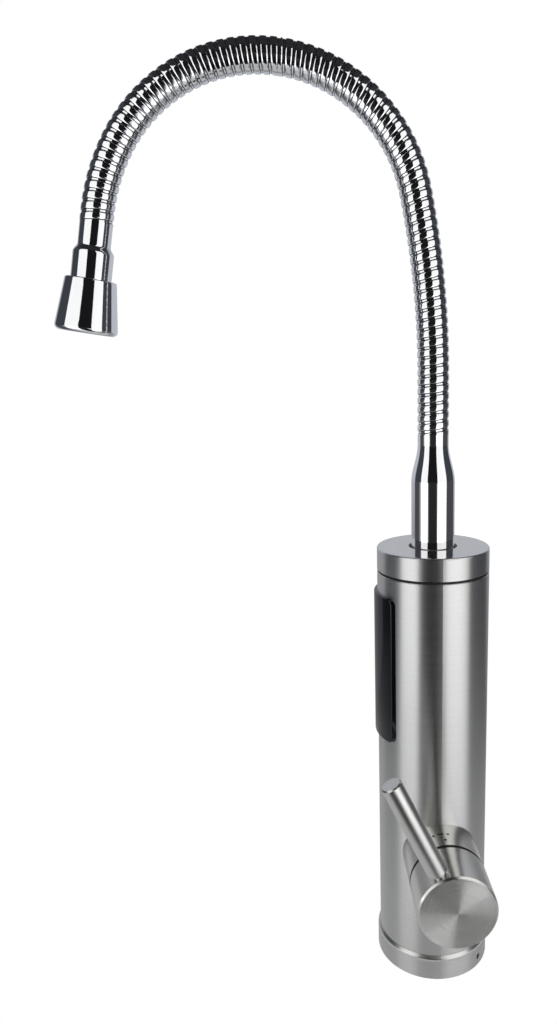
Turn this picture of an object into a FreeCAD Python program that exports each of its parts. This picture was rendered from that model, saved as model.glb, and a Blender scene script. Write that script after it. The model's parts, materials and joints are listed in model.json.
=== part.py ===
import FreeCAD, Part
import math
import os
import Sketcher
from types import SimpleNamespace

Vector = FreeCAD.Vector
Rotation = FreeCAD.Rotation
Placement = FreeCAD.Placement

# Electric instant water heater tap, in millimetres and degrees.
# Origin: centre of the base's underside. +Z up, spout towards -Y, valve and lever on +X.
sizes = {
    # fits
    "slip_gap": 0.1, "run_gap": 0.08, "axial_play": 0.4, "seat_gap": 0.05, "overcut": 1.0,
    # body column
    "shell_radius": 30.0, "shell_wall": 1.2, "shell_length": 214.5,
    "collar_proud": 1.35, "collar_radius": "=shell_radius + collar_proud", "collar_height": 14.2,
    "collar_slope": 1.6, "collar_round": 1.5, "foot_chamfer": 0.6, "edge_break": 0.3,
    "foot_lip": 1.5, "spigot_wall": 2.2, "spigot_height": 6.0, "seam_thickness": 1.0, "seam_recess": 0.5,
    "cap_height": 12.5, "cap_roof": 3.0, "cap_wall": 3.3, "cap_skirt": 5.6, "cap_hole_radius": 13.0,
    "cap_edge": 1.0,
    # underside
    "gasket_thickness": 2.2, "gasket_overlap": 1.0, "plate_thickness": 7.0,
    "inlet_thread_radius": 9.3, "inlet_depth": 15.0, "inlet_wall": 2.9, "inlet_flange": 0.8,
    "inlet_flange_thickness": 3.0, "inlet_height": 26.0, "water_radius": 4.0,
    "cable_radius": 3.6, "gland_wall": 0.8, "gland_flange": 0.6, "gland_flange_thickness": 2.0,
    "gland_spacing": 0.3, "collar_screw_radius": 1.5, "collar_screw_length": 8.0,
    "collar_screw_recess": 0.5, "collar_screw_angle": 47.2,
    "terminal_width": 14.0, "terminal_depth": 6.5, "terminal_height": 14.0, "terminal_screw_radius": 1.8,
    # mixing valve, measured out along +X
    "valve_height": 75.05, "sleeve_reach": 48.76, "sleeve_wall": 1.7, "slide_ring": 1.2,
    "slide_ring_recess": 0.15, "boss_wall": 2.3, "barrel_wall": 2.7, "barrel_rise": 29.7,
    "cartridge_radius": 15.4, "cartridge_length": 17.5, "cartridge_wall": 2.3, "cartridge_roof": 4.0,
    "cartridge_seal_thickness": 1.5, "port_radius": 3.5, "port_offset": 8.3,
    "disc_thickness": 4.0, "disc_margin": 0.4, "disc_channel": 2.4,
    "nut_thread": 5.0, "nut_flange_thickness": 1.8, "nut_bore_radius": 8.0,
    "stem_radius": 6.0, "stem_flange_margin": 1.0, "o_ring_section": 0.75,
    # knob and lever
    "knob_radius": 19.98, "knob_length": 24.94, "knob_wall": 2.2, "knob_face": 10.0, "knob_edge": 1.0,
    "hub_radius": 10.0, "hub_length": 9.0, "hub_blind": 1.5,
    "lever_x": 69.4, "lever_angle": 25.4, "lever_radius": 5.3, "lever_reach": 74.6, "lever_foot": 21.6,
    "lever_stud_radius": 3.5, "lever_stud_depth": 9.0, "lever_edge": 0.7, "knob_screw_radius": 2.0,
    # flow switch
    "flow_length": 22.0, "flow_bore_radius": 6.5, "flow_wall": 3.0, "flow_roof": 3.0, "flow_flange": 3.0,
    "piston_length": 8.0, "piston_bleed_radius": 1.2,
    "spring_wire_radius": 0.45, "spring_radius": 4.6, "spring_turns": 4.0,
    "reed_radius": 1.8, "reed_length": 14.0, "reed_taper": 1.2,
    # heating tank
    "tank_radius": 20.5, "tank_wall": 2.5, "tank_floor": 3.0, "tank_flange": 5.0,
    "tank_flange_thickness": 3.0, "tank_seal_thickness": 1.0, "lid_drop": 22.6, "lid_thickness": 5.0,
    "lid_screw_inset": 2.5, "lid_screw_radius": 1.5, "lid_screw_head_radius": 2.4,
    "lid_screw_head_height": 2.0, "lid_screw_count": 4.0,
    "element_radius": 13.0, "element_tube_radius": 2.5, "element_turns": 6.0, "element_bend": 6.0,
    "element_clearance": 10.0, "element_tail": 6.0,
    "cutout_radius": 4.9, "cutout_height": 6.0, "cutout_angle": 135.0, "cutout_offset": 17.8,
    # boards and display
    "post_height": 1.7, "post_size": 6.0, "post_inset": 16.0, "board_thickness": 1.6,
    "control_width": "=2 * sqrt((shell_radius - shell_wall - board_gap)^2"
                     " - (tank_radius + post_height + board_thickness)^2)",
    "board_gap": 1.2, "control_margin": 8.0, "triac_width": 10.0, "triac_height": 15.0,
    "triac_depth": 3.0,
    "window_bottom": 137.1, "window_height": 81.1, "window_width": 38.8, "window_proud": 1.8,
    "window_corner": 3.5, "window_edge": 0.8, "window_land": 5.2, "display_gap": 0.1,
    "window_boss_depth": "=shell_radius - shell_wall - tank_radius - display_gap - board_thickness"
                         " - digits_depth",
    "digits_width": 24.0, "digits_height": 14.0, "digits_depth": 2.4, "display_board_width": 26.0,
    # spout, from the tank's lid to the gooseneck
    "socket_wall": 3.1, "socket_rise": 24.0, "socket_floor": 2.0, "spout_stem_radius": 8.0,
    "clip_thickness": 1.4, "clip_depth": 1.0, "clip_drop": 6.0, "stem_ring_low": 6.0, "stem_ring_pitch": 5.0,
    "ferrule_radius": 11.7, "ferrule_shoulder": 281.3, "ferrule_neck": 294.5, "ferrule_top": 302.0,
    "ferrule_neck_radius": 8.65, "shoulder_round": 40.0, "neck_round": 20.0,
    # gooseneck centreline and ribs
    "neck_rise": 30.0, "bend_low_radius": 450.0, "bend_low_angle": 11.48,
    "bend_crown_radius": 78.92, "bend_crown_angle": 137.9, "bend_tip_radius": 95.6, "bend_tip_angle": 20.45,
    "neck_drop": 3.6,
    "rib_count": 74.0, "flex_ribs": 8.0, "crown_ribs": 20.0, "tip_ribs": 10.0,
    "hose_radius": 8.5, "groove_radius": 7.7, "hose_bore_radius": 5.5,
    "rib_flank": 0.3, "rib_gap": 0.6,
    "tube_radius": 4.8, "tube_wall": 1.3, "tube_start": 246.0,
    # nozzle, measured along the gooseneck's last heading
    "tip_neck_radius": 8.85, "tip_neck_length": 12.5, "tip_shoulder": 2.0, "tip_radius": 10.3,
    "tip_round": 2.5, "tip_length": 27.2, "tip_stub_radius": 7.0, "tip_stub_length": 7.0,
    "nozzle_top_radius": 12.6, "nozzle_mouth_radius": 15.8, "nozzle_length": 26.3, "nozzle_edge": 0.8,
    "nozzle_lip": 2.6, "nozzle_roof": 9.0, "nozzle_cavity_radius": 12.2, "washer_thickness": 2.0,
    "aerator_recess": 1.2, "jet_radius": 0.9, "jet_circle": 7.8, "jet_count": 12.0, "jet_inner_circle": 4.0,
    "jet_inner_count": 6.0,
}

document = FreeCAD.newDocument("water_heater_tap")
sheet = document.addObject("Spreadsheet::Sheet", "dims")
for row, alias in enumerate(sizes, 1):
    sheet.set(f"A{row}", alias)
    sheet.setAlias(f"B{row}", alias)
for row, number in enumerate(sizes.values(), 1):
    sheet.set(f"B{row}", str(number))
document.recompute()


class Size:
    # A number together with the sheet expression that it comes from.
    def __init__(self, value, text):
        self.value = float(value)
        self.text = text

    def __add__(self, other):
        other = as_size(other)
        return Size(self.value + other.value, f"({self.text} + {other.text})")

    def __sub__(self, other):
        other = as_size(other)
        return Size(self.value - other.value, f"({self.text} - {other.text})")

    def __mul__(self, other):
        other = as_size(other)
        return Size(self.value * other.value, f"({self.text} * {other.text})")

    def __truediv__(self, other):
        other = as_size(other)
        return Size(self.value / other.value, f"({self.text} / {other.text})")

    def __neg__(self):
        return Size(-self.value, f"(0 - {self.text})")

    def __float__(self):
        return self.value


def as_size(number):
    return number if isinstance(number, Size) else Size(number, str(number))


d = SimpleNamespace(**{alias: Size(sheet.get(alias), f"dims.{alias}") for alias in sizes})
nodes = {}


# Heights, radii and reaches that follow from the sheet
shell_bore = d.shell_radius - d.shell_wall
shell_top = d.collar_height + d.shell_length
cap_bottom = shell_top + d.seam_thickness
cap_top = cap_bottom + d.cap_height
skirt_radius = shell_bore - d.slip_gap
collar_bore = skirt_radius - d.spigot_wall
plate_radius = collar_bore - d.slip_gap
plate_top = d.gasket_thickness + d.plate_thickness
inlet_radius = d.inlet_thread_radius + d.inlet_wall
inlet_flange_radius = inlet_radius + d.inlet_flange
inlet_flange_top = plate_top + d.inlet_flange_thickness
gland_radius = d.cable_radius + d.gland_wall
gland_flange_radius = gland_radius + d.gland_flange
gland_offset = inlet_flange_radius + gland_flange_radius + d.gland_spacing
collar_screw_height = d.gasket_thickness + d.plate_thickness / 2
barrel_radius = inlet_radius + d.slip_gap + d.barrel_wall
barrel_top = d.valve_height + d.barrel_rise
pocket_radius = d.cartridge_radius + d.slip_gap
boss_radius = pocket_radius + d.boss_wall
boss_end = d.sleeve_reach - d.nut_flange_thickness - d.axial_play
cartridge_front = boss_end - d.nut_thread
cartridge_back = cartridge_front - d.cartridge_length
pocket_floor = cartridge_back - d.cartridge_seal_thickness
disc_radius = d.cartridge_radius - d.cartridge_wall - d.slip_gap
discs_front = cartridge_back + d.disc_thickness * 2
roof_inside = cartridge_front - d.cartridge_roof
knob_back = d.sleeve_reach + d.slide_ring
knob_front = knob_back + d.knob_length
knob_inside = knob_front - d.knob_face
hub_back = knob_inside - d.hub_length
hub_bore_end = knob_inside - d.hub_blind
sleeve_bore = d.knob_radius - d.sleeve_wall
flow_top = barrel_top + d.flow_length
flow_inside_top = flow_top - d.flow_roof
lid_bottom = shell_top - d.lid_drop
lid_top = lid_bottom + d.lid_thickness
tank_top = lid_bottom - d.tank_seal_thickness
tank_bore = d.tank_radius - d.tank_wall
flange_radius = d.tank_radius + d.tank_flange
screw_circle = flange_radius - d.lid_screw_inset
socket_radius = d.spout_stem_radius + d.run_gap
socket_top = lid_top + d.socket_rise
stem_bottom = lid_top + d.socket_floor + d.axial_play
clip_top = socket_top - d.clip_drop
tube_bore = d.tube_radius - d.tube_wall
tube_seat = d.tube_radius + d.slip_gap
window_radius = d.shell_radius + d.window_proud
window_back = shell_bore - d.window_boss_depth
digits_back = window_back - d.digits_depth
opening_half = d.window_width / 2 - d.window_land
opening_low = d.window_bottom + d.window_land
opening_high = tank_top - d.tank_flange_thickness - d.window_land
control_front = d.tank_radius + d.post_height
control_bottom = flow_top + d.control_margin
control_height = tank_top - d.tank_flange_thickness - control_bottom - d.control_margin
nozzle_start = d.tip_length + d.seat_gap
nozzle_end = nozzle_start + d.nozzle_length
washer_start = nozzle_start + d.nozzle_roof


def bind(thing, **properties):
    for name, size in properties.items():
        thing.setExpression(name.replace("__", "."), as_size(size).text)


def keep(label, thing):
    thing.Label = label
    nodes[label] = thing
    return thing


# Sketches and bodies
def new_body(label):
    body = document.addObject("PartDesign::Body", label + "_body")
    return body


def new_sketch(body, role, offset=0):
    sketch = body.newObject("Sketcher::SketchObject", body.Name + "_sketch")
    plane = next(item for item in body.Origin.OriginFeatures if item.Role == role)
    sketch.AttachmentSupport = [(plane, "")]
    sketch.MapMode = "FlatFace"
    bind(sketch, AttachmentOffset__Base__z=offset)
    return sketch


def fix_coordinate(sketch, kind, axis, index, position, size):
    size = as_size(size)
    if size.text == "0":
        sketch.addConstraint(Sketcher.Constraint("PointOnObject", index, position, axis))
        return
    number = sketch.addConstraint(Sketcher.Constraint(kind, -1, 1, index, position, size.value))
    sketch.setExpression(f"Constraints[{number}]", size.text)


def add_outline(sketch, points):
    vertices = [(as_size(u), as_size(v)) for u, v in points]
    first = sketch.GeometryCount
    count = len(vertices)
    for index in range(count):
        u, v = vertices[index]
        far_u, far_v = vertices[(index + 1) % count]
        start = Vector(u.value, v.value, 0)
        sketch.addGeometry(Part.LineSegment(start, Vector(far_u.value, far_v.value, 0)))
    for index in range(count):
        following = first + (index + 1) % count
        sketch.addConstraint(Sketcher.Constraint("Coincident", first + index, 2, following, 1))
    for index, (u, v) in enumerate(vertices):
        fix_coordinate(sketch, "DistanceX", -2, first + index, 1, u)
        fix_coordinate(sketch, "DistanceY", -1, first + index, 1, v)


def add_circle(sketch, u, v, radius):
    u, v, radius = as_size(u), as_size(v), as_size(radius)
    centre = Vector(u.value, v.value, 0)
    index = sketch.addGeometry(Part.Circle(centre, Vector(0, 0, 1), radius.value))
    fix_coordinate(sketch, "DistanceX", -2, index, 3, u)
    fix_coordinate(sketch, "DistanceY", -1, index, 3, v)
    number = sketch.addConstraint(Sketcher.Constraint("Radius", index, radius.value))
    sketch.setExpression(f"Constraints[{number}]", radius.text)


def turned(label, points):
    # A body turned about its own Z axis from a closed outline of (radius, height) points.
    body = new_body(label)
    sketch = new_sketch(body, "XZ_Plane")
    add_outline(sketch, points)
    revolution = body.newObject("PartDesign::Revolution", body.Name + "_turn")
    revolution.Profile = sketch
    revolution.ReferenceAxis = (sketch, ["V_Axis"])
    revolution.Angle = 360
    return body


def ring(label, inner, outer, bottom, top):
    return turned(label, [(inner, bottom), (outer, bottom), (outer, top), (inner, top)])


def disc_with_holes(label, radius, bottom, thickness, holes):
    body = new_body(label)
    sketch = new_sketch(body, "XY_Plane", bottom)
    add_circle(sketch, 0, 0, radius)
    for u, v, hole_radius in holes:
        add_circle(sketch, u, v, hole_radius)
    pad = body.newObject("PartDesign::Pad", body.Name + "_pad")
    pad.Profile = sketch
    bind(pad, Length=thickness)
    return body


def pocket(body, sketch, backwards, length=None):
    # Cuts along the sketch's normal when backwards is true, against it otherwise.
    document.recompute()
    before = body.Shape.Volume
    cut = body.newObject("PartDesign::Pocket", body.Name + "_pocket")
    cut.Profile = sketch
    cut.Reversed = backwards
    if length is None:
        cut.Type = "ThroughAll"
    else:
        bind(cut, Length=length)
    document.recompute()
    if body.Shape.Volume > before - 1e-3:
        raise RuntimeError(body.Name + ": the pocket cuts nothing")
    return cut


def rounded(body, edges_wanted, radius):
    # Rounds the edges of the body's last feature that the test picks.
    document.recompute()
    base = body.Tip
    names = [f"Edge{i}" for i, edge in enumerate(base.Shape.Edges, 1) if edges_wanted(edge)]
    if not names:
        raise RuntimeError(body.Name + ": no edge to round")
    fillet = body.newObject("PartDesign::Fillet", body.Name + "_fillet")
    fillet.Base = (base, names)
    bind(fillet, Radius=radius)
    return fillet


def circle_at(radius, height):
    # Picks the circular edge of that radius and height about the body's axis.
    def wanted(edge):
        if not isinstance(edge.Curve, Part.Circle):
            return False
        level = abs(edge.Curve.Center.z - float(height)) < 1e-4
        return level and abs(edge.Curve.Radius - float(radius)) < 1e-4
    return wanted


# Primitives and booleans
def place(thing, x=0, y=0, z=0):
    bind(thing, Placement__Base__x=x, Placement__Base__y=y, Placement__Base__z=z)


def cylinder(name, radius, height, x=0, y=0, z=0, towards=Vector(0, 0, 1)):
    thing = document.addObject("Part::Cylinder", name)
    bind(thing, Radius=radius, Height=height)
    thing.Placement = Placement(Vector(), Rotation(Vector(0, 0, 1), towards))
    place(thing, x, y, z)
    return thing


def box(name, length, width, height, x=0, y=0, z=0):
    thing = document.addObject("Part::Box", name)
    bind(thing, Length=length, Width=width, Height=height)
    place(thing, x, y, z)
    return thing


def torus(name, radius, section, height):
    thing = document.addObject("Part::Torus", name)
    bind(thing, Radius1=radius, Radius2=section, Placement__Base__z=height)
    return thing


def fused(name, *things):
    thing = document.addObject("Part::MultiFuse", name)
    thing.Shapes = list(things)
    return thing


def cut(name, base, *tools):
    thing = document.addObject("Part::Cut", name)
    thing.Base = base
    thing.Tool = tools[0] if len(tools) == 1 else fused(name + "_tools", *tools)
    return thing


def common(name, first, second):
    thing = document.addObject("Part::Common", name)
    thing.Base = first
    thing.Tool = second
    return thing


def compound(name, *things):
    thing = document.addObject("Part::Compound", name)
    thing.Links = list(things)
    return thing


def along_valve(thing):
    # Lays a piece made on +Z along the valve's axis, +X.
    thing.Placement = Placement(Vector(), Rotation(Vector(0, 1, 0), 90))
    bind(thing, Placement__Base__z=d.valve_height)
    return thing


def along_lever(thing, reach, turn=0):
    # Lays a piece made on +Z out from the valve's axis at a reach along it, turned with the lever.
    thing.Placement = Placement(Vector(), Rotation(Vector(1, 0, 0), d.lever_angle.value + turn))
    bind(thing, Placement__Base__x=reach, Placement__Base__z=d.valve_height)
    return thing


def solid(label, shape):
    thing = document.addObject("Part::Feature", label)
    thing.Shape = shape
    return keep(label, thing)


# Body column
def make_column():
    rim = d.shell_radius - d.edge_break
    shell = turned("outer_shell", [
        (shell_bore, d.collar_height), (rim, d.collar_height),
        (d.shell_radius, d.collar_height + d.edge_break), (d.shell_radius, shell_top - d.edge_break),
        (rim, shell_top), (shell_bore, shell_top)])
    window = new_sketch(shell, "XZ_Plane")
    add_outline(window, [(-opening_half, opening_low), (opening_half, opening_low),
                         (opening_half, opening_high), (-opening_half, opening_high)])
    pocket(shell, window, True)
    port = new_sketch(shell, "YZ_Plane")
    add_circle(port, 0, d.valve_height, boss_radius + d.axial_play)
    pocket(shell, port, True)
    keep("outer_shell", shell)

    cap_inside = skirt_radius - d.cap_wall + d.shell_wall
    cap = turned("top_cap", [
        (d.cap_hole_radius, cap_top - d.cap_roof), (d.cap_hole_radius, cap_top),
        (d.shell_radius, cap_top), (d.shell_radius, cap_bottom + d.edge_break), (rim, cap_bottom),
        (skirt_radius, cap_bottom),
        (skirt_radius, shell_top - d.cap_skirt), (cap_inside, shell_top - d.cap_skirt),
        (cap_inside, cap_top - d.cap_roof)])
    rounded(cap, circle_at(d.shell_radius, cap_top), d.cap_edge)
    keep("top_cap", cap)
    keep("cap_gasket", ring("cap_gasket", shell_bore, d.shell_radius - d.seam_recess, shell_top, cap_bottom))


# Foot ring, underside and inlets
def make_base():
    foot = d.collar_radius - d.foot_lip
    spigot_top = d.collar_height + d.spigot_height
    collar = turned("base_collar", [
        (collar_bore, d.gasket_thickness), (collar_bore, spigot_top), (skirt_radius, spigot_top),
        (skirt_radius, d.collar_height), (d.shell_radius, d.collar_height),
        (d.collar_radius, d.collar_height - d.collar_slope), (d.collar_radius, d.foot_chamfer),
        (d.collar_radius - d.foot_chamfer, 0), (foot, 0), (foot, d.gasket_thickness)])
    rounded(collar, circle_at(d.collar_radius, d.collar_height - d.collar_slope), d.collar_round)
    angle = math.radians(d.collar_screw_angle.value)
    outward = Vector(math.cos(angle), math.sin(angle), 0)
    hole = d.collar_screw_radius + d.slip_gap
    screw_out = d.collar_radius - d.collar_screw_recess
    screw_in = screw_out - d.collar_screw_length
    collar_holes = [cylinder("collar_hole", hole, d.collar_radius * 2, z=collar_screw_height, towards=way)
                    for way in (outward, -outward)]
    keep("base_collar", cut("base_collar_drilled", collar, *collar_holes))

    plate = disc_with_holes("base_plate", plate_radius, d.gasket_thickness, d.plate_thickness, [
        (0, 0, inlet_radius + d.slip_gap), (-gland_offset, 0, gland_radius + d.slip_gap)])
    plate_holes = []
    screws = []
    for way in (outward, -outward):
        inner_end = [(screw_in - d.slip_gap) * way.x, (screw_in - d.slip_gap) * way.y]
        plate_holes.append(cylinder("plate_hole", hole, d.collar_radius, *inner_end, collar_screw_height,
                                    way))
        screws.append(cylinder("collar_screw", d.collar_screw_radius, d.collar_screw_length,
                               screw_in * way.x, screw_in * way.y, collar_screw_height, way))
    keep("base_plate", cut("base_plate_drilled", plate, *plate_holes))
    keep("collar_grub_screws", compound("collar_screw_pair", *screws))
    keep("base_gasket", ring("base_gasket", collar_bore - d.gasket_overlap, foot - d.slip_gap,
                             0, d.gasket_thickness))
    keep("inlet_fitting", turned("inlet_fitting", [
        (d.inlet_thread_radius, 0), (inlet_radius, 0), (inlet_radius, plate_top),
        (inlet_flange_radius, plate_top), (inlet_flange_radius, inlet_flange_top),
        (inlet_radius, inlet_flange_top), (inlet_radius, d.inlet_height),
        (d.water_radius, d.inlet_height), (d.water_radius, d.inlet_depth),
        (d.inlet_thread_radius, d.inlet_depth)]))
    gland_top = plate_top + d.gland_flange_thickness
    gland = turned("cable_gland", [
        (d.cable_radius, d.gasket_thickness), (gland_radius, d.gasket_thickness), (gland_radius, plate_top),
        (gland_flange_radius, plate_top), (gland_flange_radius, gland_top), (d.cable_radius, gland_top)])
    place(gland, x=-gland_offset)
    keep("cable_gland", gland)

    back = barrel_radius + d.axial_play
    block = box("terminal_case", d.terminal_width, d.terminal_depth, d.terminal_height,
                -d.terminal_width / 2, back, plate_top)
    depth = d.terminal_height / 2
    screw_holes = [cylinder("terminal_hole", d.terminal_screw_radius, depth, d.terminal_width / 3 * step,
                            back + d.terminal_depth / 2, plate_top + depth) for step in (-1, 0, 1)]
    keep("terminal_block", cut("terminal_block_cut", block, *screw_holes))


# Mixing valve
def make_valve():
    level = d.valve_height
    along = Vector(1, 0, 0)
    barrel = cylinder("valve_barrel", barrel_radius, barrel_top - inlet_flange_top, z=inlet_flange_top)
    boss = cylinder("valve_boss", boss_radius, boss_end, z=level, towards=along)
    low = level - d.port_offset
    high = level + d.port_offset
    inlet_seat = d.inlet_height + d.axial_play
    keep("valve_body", cut(
        "valve_body_cut", fused("valve_casting", barrel, boss),
        cylinder("inlet_pocket", inlet_radius + d.slip_gap, inlet_seat - inlet_flange_top,
                 z=inlet_flange_top),
        cylinder("cartridge_pocket", pocket_radius, boss_end - pocket_floor, pocket_floor, 0, level, along),
        cylinder("low_port", d.port_radius, pocket_floor + d.overcut, 0, 0, low, along),
        cylinder("high_port", d.port_radius, pocket_floor + d.overcut, 0, 0, high, along),
        cylinder("low_passage", d.water_radius, low - inlet_seat + d.overcut, z=inlet_seat - d.overcut),
        cylinder("high_passage", d.water_radius, barrel_top - high + d.overcut, z=high)))

    ports = [(d.port_offset, 0, d.port_radius), (-d.port_offset, 0, d.port_radius)]
    seal = disc_with_holes("cartridge_seal", d.cartridge_radius, pocket_floor, d.cartridge_seal_thickness,
                           ports)
    keep("cartridge_seal", along_valve(seal))
    fixed = disc_with_holes("fixed_ceramic_disc", disc_radius, cartridge_back, d.disc_thickness, ports)
    keep("fixed_ceramic_disc", along_valve(fixed))

    hole = d.stem_radius + d.run_gap
    cavity = d.cartridge_radius - d.cartridge_wall
    keep("cartridge_housing", along_valve(turned("cartridge_housing", [
        (cavity, cartridge_back), (d.cartridge_radius, cartridge_back), (d.cartridge_radius, cartridge_front),
        (hole, cartridge_front), (hole, roof_inside), (cavity, roof_inside)])))
    keep("cartridge_nut", along_valve(turned("cartridge_nut", [
        (d.nut_bore_radius, cartridge_front), (d.cartridge_radius, cartridge_front),
        (d.cartridge_radius, boss_end), (boss_radius, boss_end),
        (boss_radius, boss_end + d.nut_flange_thickness),
        (d.nut_bore_radius, boss_end + d.nut_flange_thickness)])))

    sleeve = cut("valve_sleeve_cut",
                 cylinder("sleeve_outside", d.knob_radius, d.sleeve_reach, z=level, towards=along),
                 cylinder("sleeve_inside", sleeve_bore, d.sleeve_reach, z=level, towards=along),
                 cylinder("sleeve_saddle", d.shell_radius + d.seat_gap, shell_top))
    keep("valve_sleeve", sleeve)
    keep("knob_slide_ring", along_valve(ring("knob_slide_ring", sleeve_bore + d.slip_gap,
                                             d.knob_radius - d.slide_ring_recess, d.sleeve_reach, knob_back)))


# Handle: ceramic disc, stem, knob and lever turn together
def make_handle():
    moving_radius = disc_radius - d.disc_margin
    back = cartridge_back + d.disc_thickness
    disc = cylinder("moving_disc_blank", moving_radius, d.disc_thickness, z=back)
    slot = box("channel_middle", d.port_radius * 2, d.port_offset * 2, d.disc_channel,
               -d.port_radius, -d.port_offset, back)
    ends = [cylinder("channel_end", d.port_radius, d.disc_channel, 0, side, back)
            for side in (d.port_offset, -d.port_offset)]
    moving = along_valve(cut("moving_disc_cut", disc, slot, *ends))
    moving.Placement.Rotation = Rotation(Vector(1, 0, 0), d.lever_angle.value).multiply(
        Rotation(Vector(0, 1, 0), 90))
    keep("moving_ceramic_disc", moving)

    flange = moving_radius - d.stem_flange_margin
    flange_end = roof_inside - d.axial_play
    groove_middle = roof_inside + d.cartridge_roof / 2
    groove_half = d.o_ring_section + d.slip_gap
    ring_radius = d.stem_radius - d.o_ring_section - d.seat_gap
    groove = ring_radius - d.o_ring_section - d.seat_gap
    keep("valve_stem", along_valve(turned("valve_stem", [
        (0, discs_front), (flange, discs_front), (flange, flange_end), (d.stem_radius, flange_end),
        (d.stem_radius, groove_middle - groove_half), (groove, groove_middle - groove_half),
        (groove, groove_middle + groove_half), (d.stem_radius, groove_middle + groove_half),
        (d.stem_radius, hub_bore_end - d.axial_play), (0, hub_bore_end - d.axial_play)])))
    keep("stem_o_ring", along_valve(compound("stem_ring", torus("stem_ring_torus", ring_radius,
                                                               d.o_ring_section, groove_middle))))

    hub_bore = d.stem_radius + d.slip_gap
    cavity = d.knob_radius - d.knob_wall
    knob = turned("knob", [
        (hub_bore, hub_back), (d.hub_radius, hub_back), (d.hub_radius, knob_inside), (cavity, knob_inside),
        (cavity, knob_back), (d.knob_radius, knob_back), (d.knob_radius, knob_front - d.knob_edge),
        (d.knob_radius - d.knob_edge, knob_front), (0, knob_front), (0, hub_bore_end),
        (hub_bore, hub_bore_end)])
    along_valve(knob)
    stud_end = d.knob_radius - d.lever_stud_depth
    drill_end = stud_end - d.slip_gap
    drill = d.lever_stud_radius + d.slip_gap
    stud_hole = turned("stud_hole", [
        (0, drill_end), (drill, drill_end), (drill, d.lever_foot), (0, d.lever_foot)])
    key_hole = cylinder("key_hole", d.knob_screw_radius + d.slip_gap, d.lever_foot)
    hub_middle = hub_back + d.hub_length / 2
    keep("knob", cut("knob_drilled", knob, along_lever(stud_hole, d.lever_x),
                     along_lever(key_hole, hub_middle, 180)))
    keep("lever_rod", along_lever(turned("lever_rod", [
        (0, stud_end), (d.lever_stud_radius, stud_end), (d.lever_stud_radius, d.lever_foot),
        (d.lever_radius - d.lever_edge, d.lever_foot), (d.lever_radius, d.lever_foot + d.lever_edge),
        (d.lever_radius, d.lever_reach - d.lever_edge), (d.lever_radius - d.lever_edge, d.lever_reach),
        (0, d.lever_reach)]), d.lever_x))
    screw = compound("knob_screw", cylinder("knob_screw_body", d.knob_screw_radius, d.hub_radius - hub_bore,
                                            z=hub_bore))
    keep("knob_grub_screw", along_lever(screw, hub_middle, 180))


# Arcs in space, for tubes that are bent to a route
def arc_edge(start, heading, end):
    chord = end - start
    along = Vector(chord).normalize()
    across = heading - along * heading.dot(along)
    half_turn = math.atan2(across.Length, heading.dot(along))
    bulge = Vector(across).normalize() * (chord.Length / 2 * math.tan(half_turn / 2))
    return Part.Arc(start, start + chord * 0.5 + bulge, end).toShape()


def biarc(start, heading, end, end_heading):
    # Two tangent arcs that leave along one heading and arrive along the other.
    span = end - start
    both = heading + end_heading
    a = 2 * (heading.dot(end_heading) - 1)
    b = -2 * span.dot(both)
    c = span.dot(span)
    reach = (-b - math.sqrt(b * b - 4 * a * c)) / (2 * a)
    middle = (start + end + (heading - end_heading) * reach) * 0.5
    back = arc_edge(end, -end_heading, middle)
    bow = back.valueAt((back.FirstParameter + back.LastParameter) / 2)
    return [arc_edge(start, heading, middle), Part.Arc(middle, bow, end).toShape()]


def helix_point(radius, pitch, bottom, turn):
    angle = 2 * math.pi * turn
    point = Vector(radius * math.cos(angle), radius * math.sin(angle), bottom + pitch * turn)
    heading = Vector(-radius * math.sin(angle), radius * math.cos(angle), pitch / (2 * math.pi))
    return point, heading.normalize()


def helix_edges(radius, pitch, bottom, turns):
    # Tangent arcs, a pair to each half turn.
    steps = max(1, round(turns * 2))
    stations = [helix_point(radius, pitch, bottom, turns * step / steps) for step in range(steps + 1)]
    edges = []
    for (start, heading), (end, end_heading) in zip(stations, stations[1:]):
        edges += biarc(start, heading, end, end_heading)
    return edges


def tube_along(edges, radius):
    start = edges[0].valueAt(edges[0].FirstParameter)
    heading = edges[0].tangentAt(edges[0].FirstParameter)
    section = Part.Wire(Part.Circle(start, heading, radius).toShape())
    shape = Part.Wire(edges).makePipeShell([section], True, False)
    print("tube radius", radius, "length", round(sum(edge.Length for edge in edges), 2), "volume",
          round(shape.Volume, 2), "section times length",
          round(math.pi * radius ** 2 * sum(edge.Length for edge in edges), 2))
    return shape


# Flow switch that turns the heater on
def make_flow_switch():
    outside = d.flow_bore_radius + d.flow_wall
    flange_top = barrel_top + d.flow_flange
    keep("flow_housing", turned("flow_housing", [
        (d.flow_bore_radius, barrel_top), (barrel_radius, barrel_top), (barrel_radius, flange_top),
        (outside, flange_top), (outside, flow_top), (d.water_radius, flow_top),
        (d.water_radius, flow_inside_top), (d.flow_bore_radius, flow_inside_top)]))
    piston_top = barrel_top + d.piston_length
    keep("flow_piston", ring("flow_piston", d.piston_bleed_radius, d.flow_bore_radius - d.run_gap,
                             barrel_top, piston_top))
    margin = d.spring_wire_radius.value + d.seat_gap.value
    bottom = piston_top.value + margin
    height = flow_inside_top.value - margin - bottom
    turns = d.spring_turns.value
    edges = helix_edges(d.spring_radius.value, height / turns, bottom, turns)
    print("spring gap to itself", round(height / turns - 2 * d.spring_wire_radius.value, 2))
    solid("flow_spring", tube_along(edges, d.spring_wire_radius.value))
    reed_end = flange_top + d.reed_length
    reed = turned("reed_switch", [
        (0, flange_top), (d.reed_radius, flange_top), (d.reed_radius, reed_end - d.reed_taper),
        (d.reed_radius / 2, reed_end), (0, reed_end)])
    place(reed, x=-(outside + d.reed_radius + d.seat_gap))
    keep("reed_switch", reed)


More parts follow.
